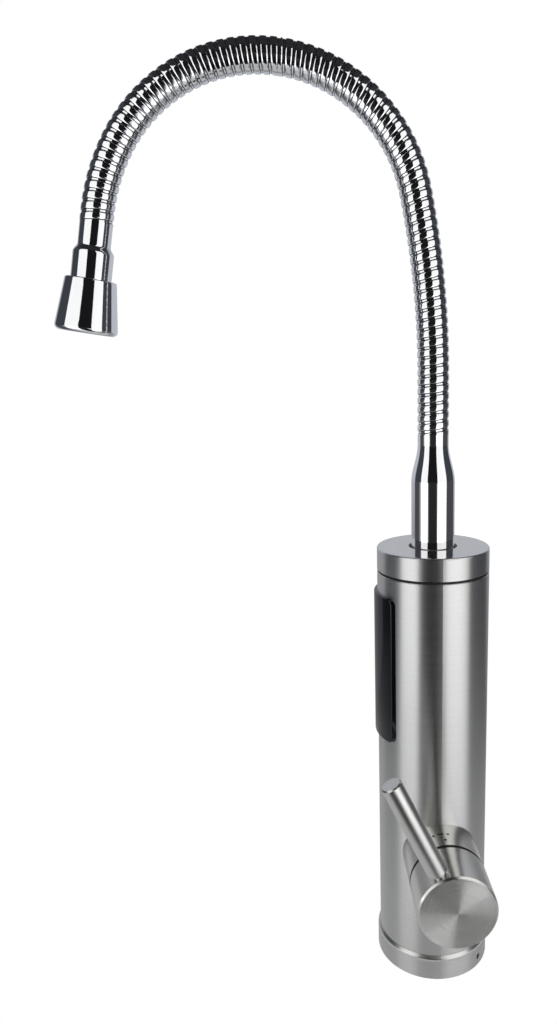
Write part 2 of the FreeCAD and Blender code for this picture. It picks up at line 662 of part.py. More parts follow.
# Heating tank with its element
def make_tank():
    posts = []
    for height in (flow_top + d.post_inset, tank_top - d.tank_flange_thickness - d.post_inset):
        posts.append(box("board_post", d.post_size, d.post_height + d.tank_wall / 2, d.post_size,
                         -d.post_size / 2, d.tank_radius - d.tank_wall / 2, height - d.post_size / 2))
    flange_bottom = tank_top - d.tank_flange_thickness
    cup = turned("heating_tank", [
        (d.water_radius, flow_top), (d.tank_radius, flow_top), (d.tank_radius, flange_bottom),
        (flange_radius, flange_bottom), (flange_radius, tank_top), (tank_bore, tank_top),
        (tank_bore, flow_top + d.tank_floor), (d.water_radius, flow_top + d.tank_floor)])
    leg_x = d.element_radius
    leg_y = element_route().shift
    leg_hole = d.element_tube_radius + d.slip_gap
    low_hole = cylinder("low_leg_hole", leg_hole, d.tank_floor * 3, leg_x, -leg_y, flow_top - d.tank_floor)

    def screw_holes(name, bottom, height):
        return [cylinder(name, d.lid_screw_radius + d.slip_gap, height, screw_circle * way[0],
                         screw_circle * way[1], bottom) for way in screw_ways()]

    depth = tank_top - flange_bottom
    keep("heating_tank", cut("heating_tank_cut", fused("tank_with_posts", cup, *posts), low_hole,
                             *screw_holes("tank_screw_hole", flange_bottom - d.overcut,
                                          depth + d.overcut * 2)))
    seal = ring("tank_seal", tank_bore + d.axial_play, flange_radius - d.slip_gap, tank_top, lid_bottom)
    keep("tank_seal", cut("tank_seal_cut", seal, *screw_holes("seal_screw_hole", tank_top - d.overcut,
                                                              d.tank_seal_thickness + d.overcut * 2)))

    outside = socket_radius + d.socket_wall
    clip_bottom = clip_top - d.clip_thickness - d.slip_gap * 2
    clip_bore = socket_radius + d.clip_depth
    socket_floor_top = lid_top + d.socket_floor
    lid = turned("tank_lid", [
        (d.water_radius, lid_bottom), (flange_radius, lid_bottom), (flange_radius, lid_top),
        (outside, lid_top), (outside, socket_top), (socket_radius, socket_top), (socket_radius, clip_top),
        (clip_bore, clip_top), (clip_bore, clip_bottom), (socket_radius, clip_bottom),
        (socket_radius, socket_floor_top), (d.water_radius, socket_floor_top)])
    top_hole = cylinder("top_leg_hole", leg_hole, d.lid_thickness * 3, leg_x, leg_y,
                        lid_bottom - d.lid_thickness)
    keep("tank_lid", cut("tank_lid_cut", lid, top_hole,
                         *screw_holes("lid_screw_hole", lid_bottom - d.overcut,
                                      d.lid_thickness + d.overcut * 2)))

    screws = []
    for way in screw_ways():
        x, y = screw_circle * way[0], screw_circle * way[1]
        shank = cylinder("lid_screw_shank", d.lid_screw_radius, lid_top - flange_bottom, x, y, flange_bottom)
        head = cylinder("lid_screw_head", d.lid_screw_head_radius, d.lid_screw_head_height, x, y, lid_top)
        screws.append(fused("lid_screw", shank, head))
    keep("tank_screws", compound("lid_screw_set", *screws))
    keep("spout_clip", ring("spout_clip", d.spout_stem_radius - d.clip_depth + d.slip_gap * 2,
                            clip_bore - d.slip_gap, clip_bottom + d.slip_gap, clip_top - d.slip_gap))

    angle = math.radians(d.cutout_angle.value)
    keep("thermal_cutout", cylinder("thermal_cutout_body", d.cutout_radius, d.cutout_height,
                                    d.cutout_offset * math.cos(angle), d.cutout_offset * math.sin(angle),
                                    lid_top))
    make_element()


def screw_ways():
    count = round(d.lid_screw_count.value)
    for step in range(count):
        angle = 2 * math.pi * step / count
        yield round(math.cos(angle), 9), round(math.sin(angle), 9)


def element_route():
    # The turns' lowest level, pitch and number, and how far each leg stands off the turns' ends.
    bottom = flow_top.value + d.tank_floor.value + d.element_clearance.value
    turns = round(d.element_turns.value)
    pitch = (tank_top.value - d.element_clearance.value - bottom) / turns
    slope = math.atan2(pitch, 2 * math.pi * d.element_radius.value)
    shift = d.element_bend.value * (1 - math.sin(slope))
    rise = d.element_bend.value * math.cos(slope)
    return SimpleNamespace(bottom=bottom, turns=turns, pitch=pitch, shift=shift, rise=rise)


def make_element():
    # Sheathed heating element: a straight leg through the floor, turns, a straight leg through the lid.
    route = element_route()
    radius = d.element_radius.value
    start, heading = helix_point(radius, route.pitch, route.bottom, 0)
    end, end_heading = helix_point(radius, route.pitch, route.bottom, route.turns)
    low_corner = start - Vector(0, route.shift, route.rise)
    high_corner = end + Vector(0, route.shift, route.rise)
    low_end = Vector(low_corner.x, low_corner.y, flow_top.value - d.element_tail.value)
    high_end = Vector(high_corner.x, high_corner.y, lid_top.value + d.element_tail.value)
    edges = [Part.LineSegment(low_end, low_corner).toShape(), arc_edge(low_corner, Vector(0, 0, 1), start)]
    edges += helix_edges(radius, route.pitch, route.bottom, route.turns)
    edges += [arc_edge(end, end_heading, high_corner), Part.LineSegment(high_corner, high_end).toShape()]
    print("element gap to itself", round(route.pitch - 2 * d.element_tube_radius.value, 2))
    solid("heating_element", tube_along(edges, d.element_tube_radius.value))


# Control electronics and display
def make_electronics():
    board = box("control_board_sheet", d.control_width, d.board_thickness, control_height,
                -d.control_width / 2, control_front, control_bottom)
    keep("control_board", board)
    keep("triac", box("triac_case", d.triac_depth, d.triac_width, d.triac_height,
                      -(d.tank_radius + d.seat_gap + d.triac_depth), -d.triac_width / 2,
                      control_bottom + control_height / 2))

    half = d.window_width / 2
    panel = box("window_block", d.window_width, window_radius * 2, d.window_height, -half,
                -window_radius * 2, d.window_bottom)
    document.recompute()
    rounded_block = document.addObject("Part::Fillet", "window_rounded")
    rounded_block.Base = panel
    corners = [i for i, edge in enumerate(panel.Shape.Edges, 1)
               if abs(edge.tangentAt(edge.FirstParameter).y) > 0.99]
    rounded_block.Edges = [(i, d.window_corner.value, d.window_corner.value) for i in corners]
    wrap = cut("window_wrap", cylinder("window_outside", window_radius, shell_top),
               cylinder("window_inside", d.shell_radius + d.seat_gap, shell_top))
    face = common("window_face", wrap, rounded_block)
    document.recompute()
    eased = document.addObject("Part::Fillet", "window_eased")
    eased.Base = face
    outer = []
    for i, edge in enumerate(face.Shape.Edges, 1):
        middle = edge.valueAt((edge.FirstParameter + edge.LastParameter) / 2)
        ends = [vertex.Point for vertex in edge.Vertexes]
        radii = [math.hypot(point.x, point.y) for point in ends + [middle]]
        if min(radii) > window_radius.value - 1e-3:
            outer.append((i, d.window_edge.value, d.window_edge.value))
    eased.Edges = outer
    boss_half = opening_half - d.slip_gap
    boss_low = opening_low + d.slip_gap
    boss_height = opening_high - d.slip_gap - boss_low
    boss_block = box("window_boss_block", boss_half * 2, window_radius - window_back, boss_height,
                     -boss_half, -window_radius, boss_low)
    boss_limit = cylinder("window_boss_limit", d.shell_radius + d.window_proud / 2, shell_top)
    boss = common("window_boss", boss_block, boss_limit)
    keep("display_window", fused("display_window_body", eased, boss))

    keep("display_digits", box("digits_case", d.digits_width, d.digits_depth, d.digits_height,
                               -d.digits_width / 2, -window_back, boss_low + boss_height / 2))
    keep("display_board", box("display_board_sheet", d.display_board_width, d.board_thickness, boss_height,
                              -d.display_board_width / 2, -digits_back, boss_low))


# Spout foot: the bottle-shaped ferrule that swivels in the tank's lid
def make_ferrule():
    ring_radius = d.spout_stem_radius - d.o_ring_section - d.seat_gap
    groove = ring_radius - d.o_ring_section - d.seat_gap
    groove_half = d.o_ring_section + d.slip_gap
    clip_groove = d.spout_stem_radius - d.clip_depth
    clip_bottom = clip_top - d.clip_thickness - d.slip_gap * 2
    rings = [stem_bottom + d.stem_ring_low, stem_bottom + d.stem_ring_low + d.stem_ring_pitch]
    foot = socket_top + d.seat_gap
    outline = [(tube_seat, stem_bottom), (d.spout_stem_radius, stem_bottom)]
    for middle in rings:
        outline += [(d.spout_stem_radius, middle - groove_half), (groove, middle - groove_half),
                    (groove, middle + groove_half), (d.spout_stem_radius, middle + groove_half)]
    outline += [(d.spout_stem_radius, clip_bottom), (clip_groove, clip_bottom), (clip_groove, clip_top),
                (d.spout_stem_radius, clip_top), (d.spout_stem_radius, foot), (d.ferrule_radius, foot),
                (d.ferrule_radius, d.ferrule_shoulder), (d.ferrule_neck_radius, d.ferrule_neck),
                (d.ferrule_neck_radius, d.ferrule_top), (tube_seat, d.ferrule_top)]
    ferrule = turned("spout_ferrule", outline)
    rounded(ferrule, circle_at(d.ferrule_radius, d.ferrule_shoulder), d.shoulder_round)
    rounded(ferrule, circle_at(d.ferrule_neck_radius, d.ferrule_neck), d.neck_round)
    keep("spout_ferrule", ferrule)
    keep("spout_o_rings", compound("stem_rings", *[torus("spout_ring", ring_radius, d.o_ring_section, middle)
                                                   for middle in rings]))


# Gooseneck: a straight rise and three bends in the plane X = 0
def neck_stretches():
    # Each stretch is its length and its curvature.
    yield d.neck_rise.value, 0.0
    for name in ("low", "crown", "tip"):
        radius = getattr(d, f"bend_{name}_radius").value
        yield radius * math.radians(getattr(d, f"bend_{name}_angle").value), 1 / radius
    yield d.neck_drop.value, 0.0


def neck_length():
    return sum(length for length, bend in neck_stretches())


def neck_step(place_now, length, bend):
    # Goes on by a length, straight or turning from +Z towards -Y.
    y, z, heading = place_now
    if bend == 0:
        return y - length * math.sin(heading), z + length * math.cos(heading), heading
    turn = heading + length * bend
    return (y + (math.cos(turn) - math.cos(heading)) / bend,
            z + (math.sin(turn) - math.sin(heading)) / bend, turn)


def neck_station(distance):
    # Past either end the straight stretch there goes on.
    here = (0.0, d.ferrule_top.value, 0.0)
    for length, bend in neck_stretches():
        stretch = min(distance, length)
        here = neck_step(here, stretch, bend)
        distance -= stretch
    return neck_step(here, distance, 0.0)


def neck_placement(distance):
    y, z, heading = neck_station(distance)
    return Placement(Vector(0, y, z), Rotation(Vector(1, 0, 0), math.degrees(heading)))


def neck_edges(start, end):
    edges = []
    travelled = 0.0
    for length, bend in neck_stretches():
        low = start if travelled == 0 else max(start, travelled)
        travelled += length
        high = end if travelled > neck_length() - 1e-6 else min(end, travelled)
        if high - low < 1e-6:
            continue
        points = [neck_placement(low + (high - low) * share).Base for share in (0, 0.5, 1)]
        curve = Part.Arc(*points) if bend else Part.LineSegment(points[0], points[2])
        edges.append(curve.toShape())
    return edges


def ribbed(label, first_rib, ribs):
    # One stretch of the gooseneck, a ruled loft through four circles for each rib, with its bore.
    pitch = neck_length() / round(d.rib_count.value)
    flank = d.rib_flank.value
    gap = d.rib_gap.value
    profile = [(gap / 2, d.groove_radius.value), (gap / 2 + flank, d.hose_radius.value),
               (pitch - gap / 2 - flank, d.hose_radius.value), (pitch - gap / 2, d.groove_radius.value)]
    stations = [(first_rib * pitch, d.groove_radius.value)]
    for rib in range(first_rib, first_rib + ribs):
        stations += [(rib * pitch + offset, radius) for offset, radius in profile]
    stations.append(((first_rib + ribs) * pitch, d.groove_radius.value))
    circles = []
    for distance, radius in stations:
        wire = Part.Wire(Part.Circle(Vector(), Vector(0, 0, 1), radius).toShape())
        wire.Placement = neck_placement(distance)
        circles.append(wire)
    outside = Part.makeLoft(circles, True, True)
    bore = tube_along(neck_edges(first_rib * pitch, (first_rib + ribs) * pitch), d.hose_bore_radius.value)
    solid(label, outside.cut(bore))
    print(label, "from", round(stations[0][0], 2), "to", round(stations[-1][0], 2), "ribs", ribs,
          "pitch", round(pitch, 3))


def make_gooseneck():
    count = round(d.rib_count.value)
    flex = round(d.flex_ribs.value)
    crown = round(d.crown_ribs.value)
    tip = round(d.tip_ribs.value)
    lower = count - flex * 2 - crown - tip
    first = 0
    pitch = neck_length() / count
    for label, ribs in (("hose_lower", lower), ("hose_flex_low", flex), ("hose_crown", crown),
                        ("hose_flex_tip", flex), ("hose_tip", tip)):
        ribbed(label, first, ribs)
        if ribs == flex and label.startswith("hose_flex"):
            y, z, heading = neck_station((first + ribs / 2) * pitch)
            print(label, "bends about X at y", round(y, 3), "z", round(z, 3))
        first += ribs
    edges = neck_edges(d.tube_start.value - d.ferrule_top.value, neck_length() + d.tip_length.value)
    tube = tube_along(edges, d.tube_radius.value).cut(tube_along(edges, tube_bore.value))
    solid("inner_tube", tube)


# Nozzle on the gooseneck's end
def make_nozzle():
    stub_end = d.tip_length + d.tip_stub_length
    ferrule = turned("tip_ferrule", [
        (tube_seat, 0), (d.tip_neck_radius, 0), (d.tip_neck_radius, d.tip_neck_length),
        (d.tip_radius, d.tip_neck_length + d.tip_shoulder), (d.tip_radius, d.tip_length),
        (d.tip_stub_radius, d.tip_length), (d.tip_stub_radius, stub_end), (tube_seat, stub_end)])
    rounded(ferrule, circle_at(d.tip_neck_radius, d.tip_neck_length), d.tip_round)
    rounded(ferrule, circle_at(d.tip_radius, d.tip_neck_length + d.tip_shoulder), d.tip_round)
    stub_hole = d.tip_stub_radius + d.slip_gap
    shell = turned("nozzle_shell", [
        (stub_hole, nozzle_start), (d.nozzle_top_radius, nozzle_start), (d.nozzle_mouth_radius, nozzle_end),
        (d.nozzle_cavity_radius, nozzle_end), (d.nozzle_cavity_radius, washer_start),
        (stub_hole, washer_start)])
    rounded(shell, circle_at(d.nozzle_top_radius, nozzle_start), d.nozzle_edge)
    rounded(shell, circle_at(d.nozzle_mouth_radius, nozzle_end), d.nozzle_lip)
    aerator_top = washer_start + d.washer_thickness
    washer = ring("nozzle_washer", tube_seat, d.nozzle_cavity_radius - d.slip_gap, washer_start, aerator_top)
    thickness = nozzle_end - d.aerator_recess - aerator_top
    aerator = disc_with_holes("aerator_insert", d.nozzle_cavity_radius - d.slip_gap, aerator_top, thickness,
                              [(0, 0, d.jet_radius)])
    for circle, count in ((d.jet_circle, d.jet_count), (d.jet_inner_circle, d.jet_inner_count)):
        jet = new_sketch(aerator, "XY_Plane", aerator_top)
        add_circle(jet, circle, 0, d.jet_radius)
        bored = pocket(aerator, jet, True)
        pattern = aerator.newObject("PartDesign::PolarPattern", "jet_ring")
        pattern.Originals = [bored]
        axis = next(item for item in aerator.Origin.OriginFeatures if item.Role == "Z_Axis")
        pattern.Axis = (axis, [""])
        pattern.Angle = 360
        bind(pattern, Occurrences=count)
        aerator.Tip = pattern
        document.recompute()
    for label, piece in (("tip_ferrule", ferrule), ("nozzle_shell", shell), ("nozzle_washer", washer),
                         ("aerator_insert", aerator)):
        piece.Placement = neck_placement(neck_length())
        keep(label, piece)


make_column()
make_base()
make_valve()
make_handle()
make_flow_switch()
make_tank()
make_electronics()
make_ferrule()
make_gooseneck()
make_nozzle()
document.recompute()

for thing in document.Objects:
    if "Invalid" in thing.State or "Error" in thing.State:
        raise RuntimeError(f"{thing.Name} failed: {thing.State}")
for label, thing in nodes.items():
    if thing.Shape.isNull() or not thing.Shape.isValid() or not thing.Shape.Solids:
        raise RuntimeError(f"{label} has no valid solid")

os.makedirs("parts", exist_ok=True)
for label, thing in nodes.items():
    thing.Shape.exportStep(f"parts/{label}.step")
print(len(nodes), "pieces written")
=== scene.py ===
import bpy
import json
import math
from mathutils import Matrix, Vector


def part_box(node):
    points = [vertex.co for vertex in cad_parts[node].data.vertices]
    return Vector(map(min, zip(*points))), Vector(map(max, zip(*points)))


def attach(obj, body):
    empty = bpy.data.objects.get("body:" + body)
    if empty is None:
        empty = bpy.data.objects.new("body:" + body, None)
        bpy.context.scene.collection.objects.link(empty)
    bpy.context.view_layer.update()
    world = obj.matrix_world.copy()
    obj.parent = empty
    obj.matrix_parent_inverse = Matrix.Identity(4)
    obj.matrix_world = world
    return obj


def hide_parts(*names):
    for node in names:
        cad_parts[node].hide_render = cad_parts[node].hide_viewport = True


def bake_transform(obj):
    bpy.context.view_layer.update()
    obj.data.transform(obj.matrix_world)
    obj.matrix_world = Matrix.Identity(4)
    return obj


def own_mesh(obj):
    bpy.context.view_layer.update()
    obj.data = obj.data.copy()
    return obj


# Electric instant water heater tap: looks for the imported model, in metres.
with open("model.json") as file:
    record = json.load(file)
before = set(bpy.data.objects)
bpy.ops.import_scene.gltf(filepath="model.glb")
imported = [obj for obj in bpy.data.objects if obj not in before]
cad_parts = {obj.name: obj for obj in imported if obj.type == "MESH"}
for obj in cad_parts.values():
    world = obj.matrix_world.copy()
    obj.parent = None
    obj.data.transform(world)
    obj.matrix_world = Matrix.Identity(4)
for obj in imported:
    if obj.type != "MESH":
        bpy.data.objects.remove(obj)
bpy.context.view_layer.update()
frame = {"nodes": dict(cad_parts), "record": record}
nodes = frame["nodes"]
mm = 0.001
print("frame loaded,", len(nodes), "nodes")


# Shader maths
class Wire:  # a socket that can stand in a Python sum
    def __init__(self, graph, socket):
        self.graph = graph
        self.socket = socket

    def __add__(self, other):
        return self.graph.maths("ADD", self, other)

    def __radd__(self, other):
        return self.graph.maths("ADD", other, self)

    def __sub__(self, other):
        return self.graph.maths("SUBTRACT", self, other)

    def __rsub__(self, other):
        return self.graph.maths("SUBTRACT", other, self)

    def __mul__(self, other):
        return self.graph.maths("MULTIPLY", self, other)

    def __rmul__(self, other):
        return self.graph.maths("MULTIPLY", other, self)


class Graph:  # one material's or world's nodes
    def __init__(self, owner):
        owner.use_nodes = True
        self.tree = owner.node_tree
        self.tree.nodes.clear()

    def node(self, kind, settings, sockets, out=0):
        made = self.tree.nodes.new(kind)
        for name, value in settings.items():
            setattr(made, name, value)
        for key, value in sockets.items():
            if isinstance(value, Wire):
                self.tree.links.new(value.socket, made.inputs[key])
            else:
                made.inputs[key].default_value = value
        return Wire(self, made.outputs[out]) if made.outputs else None

    def maths(self, operation, *values):
        return self.node("ShaderNodeMath", {"operation": operation}, dict(enumerate(values)))

    def vector(self, operation, *values, out="Vector"):
        return self.node("ShaderNodeVectorMath", {"operation": operation}, dict(enumerate(values)), out)

    def place(self):
        return self.node("ShaderNodeTexCoord", {}, {}, "Object")

    def split(self, vector):
        parts = self.node("ShaderNodeSeparateXYZ", {}, {"Vector": vector})
        return [Wire(self, socket) for socket in parts.socket.node.outputs]

    def noise(self, vector, scale, detail=2.0, rough=0.5):
        return self.node("ShaderNodeTexNoise", {}, {
            "Vector": vector, "Scale": scale, "Detail": detail, "Roughness": rough}, "Fac")

    def fade(self, value, low, high):  # 0 at low, 1 at high
        return self.node("ShaderNodeMapRange", {"interpolation_type": "SMOOTHSTEP"}, {
            "Value": value, "From Min": low, "From Max": high, "To Min": 0.0, "To Max": 1.0})

    def between(self, value, low, high):
        return self.maths("GREATER_THAN", value, low) * self.maths("LESS_THAN", value, high)

    def mix(self, share, first, second):
        return self.node("ShaderNodeMix", {"data_type": "RGBA"}, {0: share, 6: first, 7: second}, 2)

    def bump(self, height, strength, distance):
        return self.node("ShaderNodeBump", {}, {
            "Height": height, "Strength": strength, "Distance": distance})

    def tipped(self, centre, axis, amount):
        # The normal, tipped by an amount along the profile of a piece turned about an axis.
        normal = self.node("ShaderNodeTexCoord", {}, {}, "Normal")
        around = self.vector("CROSS_PRODUCT", axis, self.vector("SUBTRACT", self.place(), centre))
        profile = self.vector("NORMALIZE", self.vector("CROSS_PRODUCT", around, normal))
        leaning = self.vector("NORMALIZE", self.vector("MULTIPLY_ADD", profile, amount, normal))
        return self.node("ShaderNodeVectorTransform", {
            "vector_type": "NORMAL", "convert_from": "OBJECT", "convert_to": "WORLD"}, {"Vector": leaning})

    def turnFrom(self, vector, degrees):
        # How far round Z a vector points from a heading, in radians either way, and its height.
        turned = self.node("ShaderNodeVectorRotate", {"rotation_type": "Z_AXIS"}, {
            "Vector": vector, "Angle": -math.radians(degrees)})
        x, y, z = self.split(turned)
        return self.maths("ABSOLUTE", self.maths("ARCTAN2", y, x)), z

    def principled(self, sockets):
        return self.node("ShaderNodeBsdfPrincipled", {}, sockets)

    def blend(self, share, first, second):
        return self.node("ShaderNodeMixShader", {}, {0: share, 1: first, 2: second})

    def finish(self, shader):
        self.node("ShaderNodeOutputMaterial", {}, {"Surface": shader})


def swing(noise, amount):  # a noise's change either way from its middle
    return (noise - 0.5) * amount


def colour(red, green, blue):
    return (red, green, blue, 1.0)


def grey(level):
    return colour(level, level, level)


def inRadians(angles):
    return [math.radians(angle) for angle in angles]


# Modelling helpers
weldGap = 0.01 * mm  # points closer than this become one


def clearSelection():
    if bpy.context.object and bpy.context.object.mode != "OBJECT":
        bpy.ops.object.mode_set(mode="OBJECT")
    bpy.ops.object.select_all(action="DESELECT")


def selectOnly(thing):
    clearSelection()
    thing.select_set(True)
    bpy.context.view_layer.objects.active = thing


def editAll(thing):
    # Leaves the piece in edit mode with all of it selected.
    selectOnly(thing)
    bpy.ops.object.mode_set(mode="EDIT")
    bpy.ops.mesh.select_all(action="SELECT")


def selectWhere(thing, kind, wanted):
    # Leaves the piece in edit mode with the vertices or faces selected whose place passes the test.
    selectOnly(thing)
    bpy.ops.object.mode_set(mode="EDIT")
    bpy.ops.mesh.select_mode(type=kind)
    bpy.ops.mesh.select_all(action="DESELECT")
    bpy.ops.object.mode_set(mode="OBJECT")
    if kind == "FACE":
        for face in thing.data.polygons:
            face.select = wanted(face.center)
    else:
        for vertex in thing.data.vertices:
            vertex.select = wanted(vertex.co)
    bpy.ops.object.mode_set(mode="EDIT")


def applyModifier(thing, kind, **settings):
    selectOnly(thing)
    modifier = thing.modifiers.new(kind.title(), kind)
    for name, value in settings.items():
        setattr(modifier, name, value)
    bpy.ops.object.modifier_apply(modifier=modifier.name)


def windRound(thing, steps, pitch=0.0, turns=1):
    # Winds a drawn outline round Z, climbing by the pitch at each turn, and merges what meets.
    applyModifier(thing, "SCREW", angle=2 * math.pi, screw_offset=pitch, iterations=turns, steps=steps,
                  render_steps=steps, use_merge_vertices=True, merge_threshold=weldGap)
    editAll(thing)
    bpy.ops.mesh.remove_doubles(threshold=weldGap)
    bpy.ops.object.mode_set(mode="OBJECT")


def applyPlace():
    bpy.ops.object.transform_apply(location=True, rotation=True, scale=True)


def shadeSmooth(thing, degrees):  # edges flatter than the angle are smooth
    selectOnly(thing)
    bpy.ops.object.shade_smooth_by_angle(angle=math.radians(degrees))


# Camera, at the photograph's viewpoint
cameraSpec = {
    "place": (0.41665, -0.07384, 0.34222),
    "tilt": 11.328,  # degrees below level
    "heading": 88.627,  # degrees about Z
    "roll": -1.517,  # degrees about the lens axis
    "focal": 798.5,  # pixels
    "axis": (313.4, 519.0),  # where the lens axis meets the picture, pixels
    "picture": (557, 1024),  # pixels
    "sensor": 36.0,  # millimetres along the longer side
    "nearest": 0.01,
}


def makeCamera(spec):
    turn = Matrix.Rotation(math.radians(spec["heading"]), 3, "Z")
    turn = turn @ Matrix.Rotation(math.radians(90 - spec["tilt"]), 3, "X")
    turn = turn @ Matrix.Rotation(math.radians(spec["roll"]), 3, "Z")
    bpy.ops.object.camera_add(location=spec["place"], rotation=turn.to_euler())
    camera = bpy.context.object
    camera.name = "photoCamera"
    width, height = spec["picture"]
    camera.data.sensor_width = spec["sensor"]
    camera.data.lens = spec["sensor"] * spec["focal"] / height
    camera.data.shift_x = (width / 2 - spec["axis"][0]) / height
    camera.data.shift_y = (spec["axis"][1] - height / 2) / height
    camera.data.clip_start = spec["nearest"]
    bpy.context.scene.camera = camera


makeCamera(cameraSpec)
print("camera placed")


# Studio: two tall soft boxes beside the camera, a pale card behind the tap, a pale table below it
# and dark around them. Its names in Rise, Edge, Start, End and Reach say where a fade begins and ends.
studioSpec = {
    "facing": -11.0,  # degrees, the middle of the gap between the boxes
    "dark": colour(0.046, 0.050, 0.062),  # round the studio at eye level
    "white": grey(1.0),  # what the camera sees round the tap
}

worldSpec = {
    "above": colour(0.009, 0.009, 0.010),
    "aboveRise": (-0.20, 0.02),
    "sides": ((40.0, 70.0), (115.0, 150.0)),  # degrees from the facing where it stays as at eye level
    "top": colour(0.022, 0.022, 0.025),
    "topRise": (0.60, 0.90),
}


def makeWorld(spec):
    # White to the camera. To the metal, a dark that changes with height and round the tap.
    world = bpy.data.worlds.new("studioWorld")
    bpy.context.scene.world = world
    graph = Graph(world)
    camera = graph.node("ShaderNodeLightPath", {}, {}, "Is Camera Ray")
    look = graph.node("ShaderNodeTexCoord", {}, {}, "Generated")
    aside, height = graph.turnFrom(look, studioSpec["facing"])
    near, far = [inRadians(edge) for edge in spec["sides"]]
    middle = 1 - graph.fade(aside, *near) * (1 - graph.fade(aside, *far))
    dark = graph.mix(graph.fade(height, *spec["aboveRise"]) * middle, studioSpec["dark"], spec["above"])
    dark = graph.mix(graph.fade(height, *spec["topRise"]), dark, spec["top"])
    shown = graph.mix(camera, dark, studioSpec["white"])
    background = graph.node("ShaderNodeBackground", {}, {"Color": shown, "Strength": 1.0})
    graph.node("ShaderNodeOutputWorld", {}, {"Surface": background})


softBoxSpec = {
    "edges": (((0.360, -0.281), (0.19, -0.70)), ((0.44, 0.110), (0.22, 0.48))),  # inner and outer, in plan
    "middle": 0.45,
    "height": 0.9,
    "level": 1.0,  # brightness of its face
}


def makeSoftBoxes(spec):
    for number, (inner, outer) in enumerate(spec["edges"]):
        inner, outer = Vector(inner), Vector(outer)
        middle = (inner + outer) / 2
        width = (outer - inner).length
        side = (outer - inner).normalized()
        facing = Vector((side.y, -side.x))
        if facing.dot(middle) > 0:
            facing = -facing
        direction = Vector((facing.x, facing.y, 0))
        bpy.ops.object.light_add(type="AREA", location=(middle.x, middle.y, spec["middle"]))
        lamp = bpy.context.object
        lamp.name = f"softBox{number}"
        lamp.rotation_euler = direction.to_track_quat("-Z", "Y").to_euler()
        lamp.data.shape = "RECTANGLE"
        lamp.data.size = width
        lamp.data.size_y = spec["height"]
        lamp.data.energy = spec["level"] * math.pi * width * spec["height"]
        lamp.visible_camera = False


cardSpec = {
    "place": -0.28,  # X
    "edges": (-0.48, 0.38),  # Y
    "top": 0.62,
    "sideFade": 0.08,  # softness of its edges
    "topFade": 0.16,
    "tone": colour(0.49, 0.505, 0.550),
    "low": colour(0.26, 0.262, 0.272),  # near the table
    "lowRise": (0.12, 0.28),
}


def makeCard(spec):
    # A pale card that only the metal sees.
    low, high = spec["edges"]
    across = spec["sideFade"]
    upper = spec["topFade"]
    top = spec["top"] + upper
    clearSelection()
    bpy.ops.mesh.primitive_plane_add(size=1.0, rotation=(0, math.radians(90), 0))
    card = bpy.context.object
    card.name = "backCard"
    card.scale = (top, high - low + 2 * across, 1.0)
    card.location = (spec["place"], (low + high) / 2, top / 2)
    applyPlace()
    card.visible_camera = False
    card.visible_shadow = False
    material = bpy.data.materials.new("backCard")
    graph = Graph(material)
    y, z = graph.split(graph.place())[1:]
    share = graph.fade(y, low - across, low + across) * (1 - graph.fade(y, high - across, high + across))
    share = share * (1 - graph.fade(z, spec["top"] - upper, top))
    tone = graph.mix(graph.fade(z, *spec["lowRise"]), spec["low"], spec["tone"])
    graph.finish(graph.node("ShaderNodeEmission", {}, {
        "Strength": 1.0, "Color": graph.mix(share, studioSpec["dark"], tone)}))
    card.data.materials.append(material)


floorSpec = {
    "size": 8.0,
    "level": -0.0004,
    "paper": grey(0.82),
    "table": colour(0.46, 0.463, 0.475),
    "tableCentre": (-0.03, -0.03, 0.0),
    "tableEdge": (0.20, 0.34),
    "front": colour(0.006, 0.006, 0.007),  # below the camera
    "frontEdge": (18.0, 32.0),  # degrees from the facing
    "frontStart": (0.18, 0.23),
    "frontFar": colour(0.022, 0.021, 0.020),
    "frontEnd": (0.7, 1.3),
    "lit": colour(0.67, 0.69, 0.73),  # below the boxes
    "litEdge": (58.0, 80.0),  # degrees from the facing
    "sideNear": colour(0.24, 0.24, 0.25),
    "sideFar": colour(0.065, 0.066, 0.07),
    "sideEdge": (0.25, 0.65),
    "shadowShare": 0.10,  # how much of the lamps' own shading the white floor shows near the tap
    "shadowReach": (0.05, 0.16),
    "light": 0.21,  # what the lamps give an open floor
}


def floorTone(graph, spec):
    # What the metal sees below it: a pale table, then dark in front, lit floor beside that, and dim sides.
    spot = graph.place()
    away = graph.vector("DISTANCE", spot, spec["tableCentre"], out="Value")
    aside = graph.turnFrom(spot, studioSpec["facing"])[0]
    side = graph.mix(graph.fade(away, *spec["sideEdge"]), spec["sideNear"], spec["sideFar"])
    side = graph.mix(graph.fade(aside, *inRadians(spec["litEdge"])), spec["lit"], side)
    tone = graph.mix(graph.fade(away, *spec["tableEdge"]), spec["table"], side)
    front = (1 - graph.fade(aside, *inRadians(spec["frontEdge"]))) * graph.fade(away, *spec["frontStart"])
    below = graph.mix(graph.fade(away, *spec["frontEnd"]), spec["front"], spec["frontFar"])
    return graph.mix(front, tone, below), away


